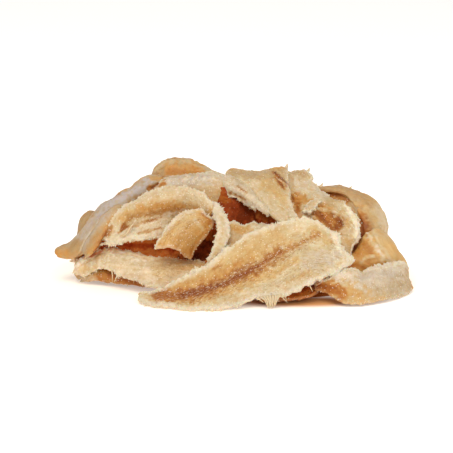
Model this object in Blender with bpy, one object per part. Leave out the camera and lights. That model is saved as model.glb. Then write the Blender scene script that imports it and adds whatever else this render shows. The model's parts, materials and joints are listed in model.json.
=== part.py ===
"""Shredded salted pollock: a heap of dried fish strips, lying as they were tipped out.

Each strip is a thin, curved and cupped sheet, lofted across two or more smooth rails: its two rims and,
where it has them, a fold or a trough between the rims. The strips lean on each other and on a packed
core, one union fuses them into a single solid, and the floor cuts the solid flat. Sizes are in
millimetres and become metres where the mesh is made.
"""

import math

import bmesh
import bpy
import numpy as np

MM = 0.001

# The front elevation, in which the strips that face the front are laid out. A point of it is: across,
# up from the base line, and depth behind the layout's zero. It is seen from a little above the floor.
VIEW_TILT = math.radians(14.0)
VIEW_DISTANCE = 550.0
VIEW_AIM_HEIGHT = 17.0
AIM_ABOVE_BASE_LINE = 26.83

# Where the layout has the middle of the heap's box, which is the part's origin.
HEAP_MIDDLE = np.array([1.9, 2.3, 0.0])
# Strips bulge away from this point.
HEAP_HEART = np.array([2.0, 4.0, 4.0])

STRIP_THICKNESS = 2.7
RIM_THINNING = 0.4
EDGE_POWER = 3.0
ROW_SPACING = 5.0
FEWEST_ROWS = 5
CORNER_LENGTH = 2.2
CORNER_WIDTH = 0.6
COLUMNS = np.array([0.0, 0.1, 0.36, 0.64, 0.9, 1.0])
WAVE_HEIGHT = 0.5
WAVE_LENGTH = 17.0
RIM_RAGGEDNESS = 0.45

# The mounds of the packed core: middle, radii and height.
CORE_MOUNDS = {
    "core_back": ((2.0, 8.0), (39.0, 20.0), 20.0),
    "core_front": ((14.0, -12.0), (25.0, 12.0), 15.0),
}
CORE_RINGS = 5
CORE_SIDES = 26
CORE_POWER = 2.5
CUT_DEPTH = 12.0
CUT_REACH = 90.0

FISH_COLOUR = (0.72, 0.52, 0.29, 1.0)
FISH_ROUGHNESS = 0.6

# Strips that the front shows, from their rails in the front elevation.
FRONT_STRIPS = {
    "front_fillet": [
        [(-28, 5.6, -25), (-20.5, 7.4, -26), (-12, 12.2, -25), (-5.5, 15.6, -23), (0, 21.8, -20),
         (9, 26, -17), (18, 29.2, -14), (26, 30.8, -12), (31, 28.5, -13), (36, 25, -15)],
        [(-28, 4.6, -27), (-20, 4.8, -28), (-12, 5.8, -28.5), (0, 9.3, -26), (10, 14, -22),
         (17, 18, -19.5), (25, 22, -17), (33, 21, -19), (40, 19, -20)],
        [(-28.4, 3.7, -28.5), (-22, 1.9, -32), (-12, 0.9, -35), (0, 1.1, -35.3), (8, 3.3, -33.5),
         (18, 5.7, -32.5), (27, 8, -30.5), (34, 11.5, -28), (40, 14.6, -24.5)],
    ],
    "curled_leaf": [
        [(-40.5, 21.8, -8), (-36, 29, -6), (-33, 34.5, -3), (-26, 37.7, -1), (-19, 39.6, 0),
         (-12, 39.6, -1), (-6, 37, -5), (-1.7, 33, -9), (0.8, 28.5, -13), (0.5, 24, -16), (-2, 20, -19),
         (-6.5, 13.5, -22)],
        [(-39, 22.5, -9), (-34, 28, -8), (-30, 32, -6), (-24, 35, -4), (-18, 36, -3), (-12, 36, -4),
         (-8, 33.5, -7), (-4.5, 30.5, -11), (-3.3, 27, -14), (-3.2, 24, -16.5), (-4, 21, -18.5),
         (-7, 15.5, -20.5)],
        [(-38, 22, -8), (-33, 25, -5), (-28, 28.5, -2), (-22, 30, 0), (-16, 30, 1), (-11, 28, 0),
         (-8, 26, -3), (-7, 23, -6), (-6.5, 20, -9)],
        [(-40.3, 21.3, -9), (-36, 20.8, -11), (-30, 21.6, -12), (-24, 22.5, -12), (-18, 22.5, -10),
         (-12, 20.5, -9), (-9, 18, -9)],
    ],
    "leaf_tongue": [
        [(-8, 32.4, -7.5), (-14.5, 30.7, -9.5), (-19, 26.7, -12.5), (-22, 22.7, -15), (-23.6, 18.7, -17)],
        [(-6.5, 30.5, -10), (-11, 27.5, -14), (-14.5, 24.5, -17), (-17.5, 20, -18.5)],
        [(-4.6, 28.3, -9.5), (-6.5, 23.7, -12.5), (-9.5, 20.5, -14.5), (-11.4, 16, -15.5)],
    ],
    "lower_left_fillet": [
        [(-48.6, 15.6, -4), (-45, 16.5, -5), (-41, 18.4, -6), (-35, 19.5, -7), (-29, 18.5, -8),
         (-24, 17.2, -9), (-16, 16.6, -10), (-9, 15.9, -12), (0, 14.5, -15)],
        [(-48.9, 14.6, -6), (-41, 15.5, -9.5), (-33, 15, -12.5), (-25, 12.5, -15.5), (-14, 11.5, -17.5),
         (-3, 10.5, -20)],
        [(-48.2, 13.2, -6), (-45, 12, -8.5), (-40, 12.6, -11), (-36, 11.6, -13), (-31, 10.2, -16),
         (-27, 8, -19), (-20, 6, -21.5), (-6, 6.5, -23)],
    ],
    "under_left": [
        [(-48.9, 12.2, 0), (-44, 12.9, -3), (-38, 12.6, -5), (-30, 11, -7), (-22, 9.5, -9)],
        [(-48, 10.9, -3), (-44, 9, -7.5), (-38, 9.2, -8), (-31, 8.1, -11), (-24, 7, -13.5)],
    ],
    "skin_side_strip": [
        [(-20, 42.8, 8), (-30, 40.4, 6), (-35, 36.2, 4), (-40, 32.8, 2), (-42.5, 30.3, 1), (-46, 25.7, -1),
         (-49.5, 21.5, -2), (-53.8, 19.9, -3)],
        [(-16, 40, 4), (-24, 38, 1), (-31, 35, -1), (-34.8, 33, -3), (-36.5, 28.5, -5),
         (-40, 23, -7.5), (-42.5, 19.5, -8.5), (-46, 17.7, -8), (-50, 17, -6), (-53.4, 17.2, -5)],
    ],
    "left_lobe": [
        [(-30, 33, 11), (-38, 32, 8), (-43.5, 31.3, 4.5), (-46.3, 28.8, 3), (-46.8, 26, 2), (-47.5, 18, 2)],
        [(-32, 27, 3), (-39, 24, 0), (-42, 21, -2), (-44, 18, -2), (-45, 13, 0)],
    ],
    "back_arc": [
        [(-24.5, 41, 12), (-21, 45.8, 14), (-16, 47.7, 15), (-11, 47.2, 15), (-6, 44.5, 14), (2, 42, 12)],
        [(-23, 39, 9), (-16, 39, 7), (-10, 39, 6), (0, 37, 6)],
    ],
    "top_left_ridge": [
        [(-19, 42.7, 8), (-12, 42.9, 9), (-6, 43.2, 9), (0, 43.4, 9), (4, 41.4, 8)],
        [(-22.5, 39.3, 3), (-17, 40.6, 4), (-10, 40.5, 4), (-3, 40, 4), (3, 38, 3)],
        [(-24, 37.3, 2), (-17, 38, 2), (-10, 37, 1), (-4, 35, -1), (0, 31.5, -3), (3, 28.5, -5)],
    ],
    "top_shell": [
        [(-2, 43.5, 8), (4, 41, 5), (8, 37.8, 1), (12.5, 32.5, -4)],
        [(-4, 40.5, 5), (0, 36.9, 1), (4, 35, -1), (8, 33.3, -3), (12, 31.5, -5)],
    ],
    "top_slab": [
        [(-1.5, 45, 11), (3.8, 40.6, 5), (8.5, 36.3, 0), (12.5, 31.8, -6), (17, 27, -13)],
        [(10, 44.2, 13), (12, 40.8, 5), (14.5, 36.8, -1), (17, 32, -7), (20, 27.5, -13)],
        [(21, 45, 12), (20.8, 41.5, 6), (21, 37.5, 1), (21.5, 33.5, -5), (23.5, 28, -12)],
    ],
    "torn_strip": [
        [(18.5, 44, 11), (19.5, 38, 3), (21.5, 33.3, -3), (26, 29.5, -8), (32, 25, -11), (33, 17, -13)],
        [(27, 44.3, 12), (29, 39.5, 7), (33.5, 35.9, 3), (39.3, 33, -1), (42.2, 27.5, -5), (42.5, 17, -9)],
    ],
    "right_loop": [
        [(24, 39, 14), (36, 38.4, 12), (42, 36.8, 11), (46.8, 34.3, 9), (49.9, 30.8, 6), (50.9, 27.5, 3),
         (50, 19, 0)],
        [(25, 36, 8), (34, 35, 6), (39, 34.5, 5), (42, 32, 3), (43.7, 28, 0), (43.7, 18, -4)],
    ],
    "right_curl": [
        [(48, 27.5, 0), (51, 23.3, -3), (54, 19.4, -6.5), (56.8, 15.8, -10), (58, 10, -14)],
        [(45.5, 26, -4), (47.5, 21.5, -8.5), (49.5, 17.5, -13), (50, 11, -19)],
        [(42.5, 25, -3), (40.5, 20.8, -9), (38.5, 16, -15), (36, 10, -21)],
    ],
    "right_slab": [
        [(28, 9.7, -24), (33, 11.3, -23), (37.5, 12.9, -22), (43, 13.2, -21), (46, 15, -19),
         (50, 15.2, -17), (54, 15.7, -14), (58.2, 13.5, -13)],
        [(27.5, 8.3, -26.5), (33, 8, -28), (38, 8, -28.5), (43, 8.5, -27), (50, 9.5, -22),
         (58.3, 9.5, -14.5)],
        [(28, 7.7, -27), (33, 5.4, -29.5), (38, 3.3, -32), (42, 2.6, -32.5), (47, 3.5, -29.5), (52, 4.6, -26),
         (57, 6, -20.5), (60, 7.2, -17)],
    ],
    "under_front": [
        [(8, 8, -20), (20, 8.2, -20), (30, 8.2, -20.5), (39, 7, -22)],
        [(11, 2.7, -30.5), (20, 3.1, -30), (28, 3.3, -29.5), (39, 3.5, -29.5)],
    ],
    "deep_middle": [
        [(-1, 28.3, -12), (5.5, 27.5, -9), (11, 27.8, -8), (18, 27.3, -9)],
        [(-2, 16, -21), (8, 20, -19.5), (18, 22, -16.5)],
    ],
}

# How far some of those strips bulge between two rims. The others lie nearly flat.
FRONT_BULGE = {
    "under_left": 1.0,
    "skin_side_strip": 2.2,
    "left_lobe": 2.5,
    "back_arc": 1.5,
    "top_shell": 0.8,
    "torn_strip": 1.4,
    "right_loop": 2.6,
    "under_front": 0.6,
    "deep_middle": -0.8,
}

# Strips on the sides and the back: where the middle is, the heading of the length in degrees, the
# pitch, the roll, then length, width, sag at the ends, twist in degrees and bulge.
LAID_STRIPS = {
    "back_fillet": ((8, 24, 12), 10, -12, -58, 64, 21, 3, 26, -2.5),
    "back_low_left": ((-22, 21, 7), 26, 4, -46, 48, 18, 2, -16, 2.5),
    "back_low_right": ((33, 19, 7), -34, 4, -44, 42, 18, 2, 18, 3.0),
    "back_middle": ((0, 16, 21), 22, -2, -34, 50, 19, 3, -20, 2.5),
    "back_top_left": ((-17, 11, 26), -6, 8, -22, 42, 17, 4, 16, 2.5),
    "back_top_right": ((22, 13, 24), -26, -8, -24, 50, 18, 4, -12, 2.5),
    "back_drop": ((-9, 22, 13), 104, -40, 14, 34, 17, 1, 26, -2.0),
    "back_drop_right": ((32, 18, 15), 40, -34, -14, 36, 17, 2, -20, 2.5),
    "left_drop": ((-35, 12, 11), 132, -22, -18, 34, 17, 2, 14, 2.0),
    "right_low": ((45, 6, 6), 66, -2, 46, 40, 16, 2, 14, 2.5),
    "left_low": ((-35, 9, 5), 70, 0, -46, 34, 15, 1, -14, 2.0),
    "floor_back": ((-2, 28, 2.6), 14, 0, -8, 46, 15, 0, 18, 1.5),
}


def seen(across, up, depth):
    """The point at this depth that the front elevation shows at (across, up)."""
    sine, cosine = math.sin(VIEW_TILT), math.cos(VIEW_TILT)
    rise = up - AIM_ABOVE_BASE_LINE
    eye = np.array([0.0, -VIEW_DISTANCE * cosine, VIEW_AIM_HEIGHT + VIEW_DISTANCE * sine])
    ray = np.array([across, VIEW_DISTANCE * cosine + rise * sine, rise * cosine - VIEW_DISTANCE * sine])
    return eye + ray * (depth - eye[1]) / ray[1]


def unit(vectors):
    return vectors / np.linalg.norm(vectors, axis=-1, keepdims=True)


def run_length(points):
    return float(np.linalg.norm(np.diff(points, axis=0), axis=1).sum())


def smooth_run(points, shares):
    """Points on the smooth curve through the given ones, at shares of the way along from 0 to 1."""
    points = np.asarray(points, dtype=float)
    knots = np.concatenate(([0.0], np.cumsum(np.linalg.norm(np.diff(points, axis=0), axis=1))))
    knots /= knots[-1]
    slopes = np.gradient(points, knots, axis=0)
    span = np.clip(np.searchsorted(knots, shares, side="right") - 1, 0, len(knots) - 2)
    gap = (knots[span + 1] - knots[span])[:, None]
    way = (np.asarray(shares)[:, None] - knots[span][:, None]) / gap
    ease = way * way * (3.0 - 2.0 * way)
    chord = (1.0 - ease) * points[span] + ease * points[span + 1]
    leave = way * (1.0 - way) ** 2 * gap * slopes[span]
    arrive = way * way * (way - 1.0) * gap * slopes[span + 1]
    return chord + leave + arrive


def laid_rims(middle, heading, pitch, roll, length, width, sag, twist):
    """The two rims of a strip that lies on the heap's side, from where and how it lies."""
    heading, pitch = math.radians(heading), math.radians(pitch)
    ahead = np.array([math.cos(heading), math.sin(heading), 0.0])
    level = np.array([-math.sin(heading), math.cos(heading), 0.0])
    along = ahead * math.cos(pitch) + np.array([0.0, 0.0, math.sin(pitch)])
    upward = np.cross(along, level)
    rims = [[], []]
    for share in np.linspace(-0.5, 0.5, 5):
        centre = np.array(middle) + along * length * share + np.array([0.0, 0.0, -sag * 4.0 * share * share])
        turn = math.radians(roll + twist * share)
        across = level * math.cos(turn) + upward * math.sin(turn)
        rims[0].append(centre - across * width / 2.0)
        rims[1].append(centre + across * width / 2.0)
    return rims


def with_bulge(rails, bulge):
    """Puts a third rail between two rims, bulged away from the heap's heart."""
    shares = np.linspace(0.0, 1.0, 7)
    first, second = (smooth_run(rail, shares) for rail in rails)
    middle = (first + second) / 2.0
    outward = unit(np.cross(np.gradient(middle, axis=0), second - first))
    outward *= np.sign(np.sum(outward * (middle - HEAP_HEART), axis=1, keepdims=True))
    return [first, middle + outward * bulge, second]


def strip_mesh(rails, draw):
    """A closed strip mesh, lofted across the rails, thick in the middle and thin at its ragged rims."""
    length = np.mean([run_length(rail) for rail in rails])
    rows = max(FEWEST_ROWS, round(length / ROW_SPACING))
    corner = CORNER_LENGTH / length
    shares = np.concatenate(([0.0], np.linspace(corner, 1.0 - corner, rows), [1.0]))
    guides = np.stack([smooth_run(rail, shares) for rail in rails], axis=1)
    sheet = []
    for number, guide in enumerate(guides):
        columns = COLUMNS.copy()
        if number in (0, len(shares) - 1):
            columns = 0.5 + (columns - 0.5) * CORNER_WIDTH
        else:
            tears = draw.uniform(0.0, RIM_RAGGEDNESS, 2) / run_length(guide)
            columns[0] += tears[0]
            columns[-1] -= tears[1]
        sheet.append(smooth_run(guide, columns))
    sheet = np.array(sheet)
    normals = unit(np.cross(np.gradient(sheet, axis=0), np.gradient(sheet, axis=1)))
    wave = WAVE_HEIGHT * np.sin(math.tau * shares * length / WAVE_LENGTH + draw.uniform(0.0, math.tau))
    sheet += normals * wave[:, None, None]
    rim_distance = np.abs(2.0 * COLUMNS - 1.0)
    half = np.maximum(np.sqrt(1.0 - rim_distance**EDGE_POWER), RIM_THINNING) * STRIP_THICKNESS / 2.0
    half = np.tile(half, (len(shares), 1))
    half[[0, -1]] *= CORNER_WIDTH
    front, back = (sheet + side * normals * half[:, :, None] for side in (1.0, -1.0))
    return closed_sheet(front, back)


def closed_sheet(front, back):
    """Joins two like grids of points, a face and its back, into one closed mesh."""
    rows, columns = front.shape[:2]
    corners = [[[None] * columns for _ in range(rows)] for _ in range(2)]
    mesh = bmesh.new()
    for side, grid in enumerate((front, back)):
        for row in range(rows):
            for column in range(columns):
                corners[side][row][column] = mesh.verts.new(tuple((grid[row, column] - HEAP_MIDDLE) * MM))
    for side in corners:
        for row in range(rows - 1):
            for column in range(columns - 1):
                mesh.faces.new((side[row][column], side[row][column + 1],
                                side[row + 1][column + 1], side[row + 1][column]))
    around = [(0, column) for column in range(columns)]
    around += [(row, columns - 1) for row in range(1, rows)]
    around += [(rows - 1, column) for column in range(columns - 2, -1, -1)]
    around += [(row, 0) for row in range(rows - 2, 0, -1)]
    for here, there in zip(around, around[1:] + around[:1]):
        mesh.faces.new((corners[0][here[0]][here[1]], corners[0][there[0]][there[1]],
                        corners[1][there[0]][there[1]], corners[1][here[0]][here[1]]))
    bmesh.ops.recalc_face_normals(mesh, faces=mesh.faces)
    return mesh


def mound_mesh(centre, radii, top):
    """A part of the heap's packed core: a low mound that reaches a little below the floor."""
    mesh = bmesh.new()
    rings = []
    for ring in range(CORE_RINGS):
        rise = math.sin(math.pi / 2.0 * ring / CORE_RINGS)
        reach = (1.0 - rise**CORE_POWER) ** (1.0 / CORE_POWER)
        height = top * rise if ring else -CUT_DEPTH / 4.0
        points = []
        for side in range(CORE_SIDES):
            angle = math.tau * side / CORE_SIDES
            spot = np.array([centre[0] + radii[0] * reach * math.cos(angle),
                             centre[1] + radii[1] * reach * math.sin(angle), height])
            points.append(mesh.verts.new(tuple((spot - HEAP_MIDDLE) * MM)))
        rings.append(points)
    for lower, upper in zip(rings, rings[1:]):
        for side in range(CORE_SIDES):
            after = (side + 1) % CORE_SIDES
            mesh.faces.new((lower[side], lower[after], upper[after], upper[side]))
    mesh.faces.new(rings[0][::-1])
    peak = mesh.verts.new(tuple((np.array([*centre, top]) - HEAP_MIDDLE) * MM))
    for side in range(CORE_SIDES):
        mesh.faces.new((rings[-1][side], rings[-1][(side + 1) % CORE_SIDES], peak))
    bmesh.ops.recalc_face_normals(mesh, faces=mesh.faces)
    return mesh


def new_object(name, mesh, collection):
    data = bpy.data.meshes.new(name)
    mesh.to_mesh(data)
    mesh.free()
    made = bpy.data.objects.new(name, data)
    collection.objects.link(made)
    return made


def apply_modifiers(target):
    graph = bpy.context.evaluated_depsgraph_get()
    data = bpy.data.meshes.new_from_object(target.evaluated_get(graph))
    target.modifiers.clear()
    target.data = data


def island_volume(faces):
    """Six times the volume inside these faces, less than zero where they are the wall of a hollow."""
    total = 0.0
    for face in faces:
        first = face.verts[0].co
        for second, third in zip(face.verts[1:], face.verts[2:]):
            total += first.dot(second.co.cross(third.co))
    return total


def keep_largest_body(target):
    """Drops loose scraps, and fills sealed hollows by dropping their walls."""
    mesh = bmesh.new()
    mesh.from_mesh(target.data)
    waiting = set(mesh.faces)
    islands = []
    while waiting:
        island, edge_of_island = set(), [waiting.pop()]
        while edge_of_island:
            face = edge_of_island.pop()
            island.add(face)
            for edge in face.edges:
                for other in edge.link_faces:
                    if other in waiting:
                        waiting.remove(other)
                        edge_of_island.append(other)
        islands.append(island)
    heap = max(islands, key=island_volume)
    bmesh.ops.delete(mesh, geom=[face for face in mesh.faces if face not in heap], context="FACES")
    bmesh.ops.triangulate(mesh, faces=mesh.faces)
    mesh.to_mesh(target.data)
    print(f"{len(islands)} bodies after the union, {len(mesh.faces)} triangles kept")
    mesh.free()


def fish_material():
    material = bpy.data.materials.new("dried_fish")
    material.use_nodes = True
    shader = material.node_tree.nodes["Principled BSDF"]
    shader.inputs["Base Color"].default_value = FISH_COLOUR
    shader.inputs["Roughness"].default_value = FISH_ROUGHNESS
    shader.inputs["Metallic"].default_value = 0.0
    return material


def build():
    for old in list(bpy.data.objects):
        bpy.data.objects.remove(old)
    scene = bpy.context.scene.collection
    strips = bpy.data.collections.new("strips")
    scene.children.link(strips)

    draw = np.random.default_rng(7)
    for name, rails in FRONT_STRIPS.items():
        rails = [np.array([seen(*point) for point in rail]) for rail in rails]
        if len(rails) == 2:
            rails = with_bulge(rails, FRONT_BULGE[name])
        new_object(name, strip_mesh(rails, draw), strips)
    for name, (*place, bulge) in LAID_STRIPS.items():
        new_object(name, strip_mesh(with_bulge(laid_rims(*place), bulge), draw), strips)
    new_object("core_front", mound_mesh(*CORE_MOUNDS["core_front"]), strips)

    heap = new_object("pollock_heap", mound_mesh(*CORE_MOUNDS["core_back"]), scene)
    heap.data.materials.append(fish_material())
    union = heap.modifiers.new("join", "BOOLEAN")
    union.operation = "UNION"
    union.operand_type = "COLLECTION"
    union.collection = strips
    union.solver = "MANIFOLD"
    apply_modifiers(heap)
    for strip in list(strips.objects):
        bpy.data.objects.remove(strip)
    bpy.data.collections.remove(strips)

    box = bmesh.new()
    bmesh.ops.create_cube(box, size=1.0)
    bmesh.ops.scale(box, vec=(2 * CUT_REACH * MM, 2 * CUT_REACH * MM, CUT_DEPTH * MM), verts=box.verts)
    bmesh.ops.translate(box, vec=(0.0, 0.0, -CUT_DEPTH / 2 * MM), verts=box.verts)
    floor = new_object("floor_cut", box, scene)
    cut = heap.modifiers.new("floor", "BOOLEAN")
    cut.operation = "DIFFERENCE"
    cut.object = floor
    cut.solver = "MANIFOLD"
    apply_modifiers(heap)
    bpy.data.objects.remove(floor)
    keep_largest_body(heap)


build()
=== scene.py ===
# %% [markdown]
# # Shredded salted pollock: a heap of dried strips
#
# White fish is filleted, salted, dried and torn along its fibres. What is tipped out of the bag is a heap
# of thin, curled strips: amber where they are thin and dry, cream and crumbly where they are torn, with
# fine salt on all of it. This lesson makes that heap around a packed, plain solid of the same form. The
# solid can't be touched, so every strip is made new, where the solid has it.

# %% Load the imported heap
import json
import math

import bpy
import numpy as np
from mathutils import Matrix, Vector

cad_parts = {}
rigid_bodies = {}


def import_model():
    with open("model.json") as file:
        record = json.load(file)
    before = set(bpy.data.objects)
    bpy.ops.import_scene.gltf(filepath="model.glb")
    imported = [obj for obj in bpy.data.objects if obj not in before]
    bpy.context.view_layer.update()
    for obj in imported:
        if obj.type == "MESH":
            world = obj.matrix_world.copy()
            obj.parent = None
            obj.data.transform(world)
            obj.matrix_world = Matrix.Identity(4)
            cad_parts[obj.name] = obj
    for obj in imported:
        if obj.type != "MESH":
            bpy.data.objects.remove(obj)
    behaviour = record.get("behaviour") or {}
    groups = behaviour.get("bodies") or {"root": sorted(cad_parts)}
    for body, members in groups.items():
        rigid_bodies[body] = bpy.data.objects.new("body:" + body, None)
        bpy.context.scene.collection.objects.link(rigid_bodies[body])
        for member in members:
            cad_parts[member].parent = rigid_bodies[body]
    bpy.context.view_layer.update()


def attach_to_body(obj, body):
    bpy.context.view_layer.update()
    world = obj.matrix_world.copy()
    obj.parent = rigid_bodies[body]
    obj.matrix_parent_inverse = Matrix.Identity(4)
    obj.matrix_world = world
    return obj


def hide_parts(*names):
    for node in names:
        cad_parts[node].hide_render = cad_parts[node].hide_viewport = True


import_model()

# %% [markdown]
# ## Millimetres, and the front elevation
#
# Fish strips are measured in millimetres, and Blender works in metres, so sizes are written in millimetres
# and one number turns them into metres as a mesh is made. The strips that face the front were laid out in
# a front elevation: a drawing board that stands square to a viewer who looks down on the heap by 14
# degrees. `seen` finds the point in space that the board shows at one spot, and `on_the_board` goes back,
# which is how a stain or a crack is put on the right strip later.

# %% Turn the front elevation into space and back
MM = 0.001
VIEW_TILT = math.radians(14.0)
VIEW_DISTANCE = 550.0
VIEW_AIM_HEIGHT = 17.0
AIM_ABOVE_BASE_LINE = 26.83
HEAP_MIDDLE = np.array([1.9, 2.3, 0.0])
HEAP_HEART = np.array([2.0, 4.0, 4.0])

EYE = np.array([0.0, -VIEW_DISTANCE * math.cos(VIEW_TILT),
                VIEW_AIM_HEIGHT + VIEW_DISTANCE * math.sin(VIEW_TILT)])
AHEAD = np.array([0.0, math.cos(VIEW_TILT), -math.sin(VIEW_TILT)])
UPWARD = np.array([0.0, math.sin(VIEW_TILT), math.cos(VIEW_TILT)])


def seen(across, up, depth):
    """The point at this depth that the front elevation shows at (across, up)."""
    ray = np.array([across, 0.0, 0.0]) + UPWARD * (up - AIM_ABOVE_BASE_LINE) + AHEAD * VIEW_DISTANCE
    return EYE + ray * (depth - EYE[1]) / ray[1]


def on_the_board(points):
    """Where the front elevation shows these points: across, and up from its base line."""
    reach = points - EYE
    scale = VIEW_DISTANCE / (reach @ AHEAD)
    return np.stack((reach[..., 0] * scale, reach @ UPWARD * scale + AIM_ABOVE_BASE_LINE), axis=-1)


print("the eye is at, in mm:", np.round(EYE, 1))

# %% [markdown]
# ## The camera
#
# A strip is only right if it is right from where the heap is looked at, so the camera comes first. It
# stands at the eye of the front elevation. The board is 143.8 mm wide where the heap is, and the lens
# follows from that width and from the sensor's 36 mm.

# %% Set up the camera
BOARD_HALF_WIDTH = 71.905
SENSOR_WIDTH = 36.0


def linked(name, data):
    """A new object with this data, put in the scene."""
    made = bpy.data.objects.new(name, data)
    bpy.context.scene.collection.objects.link(made)
    return made


def make_camera():
    data = bpy.data.cameras.new("camera")
    data.sensor_width = SENSOR_WIDTH
    data.lens = SENSOR_WIDTH / 2.0 * VIEW_DISTANCE / BOARD_HALF_WIDTH
    camera = linked("camera", data)
    camera.location = Vector((EYE - HEAP_MIDDLE) * MM)
    camera.rotation_euler = Vector(AHEAD).to_track_quat("-Z", "Y").to_euler()
    bpy.context.scene.camera = camera
    print(f"lens {data.lens:.1f} mm at {VIEW_DISTANCE:.0f} mm from the heap")


make_camera()
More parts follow.
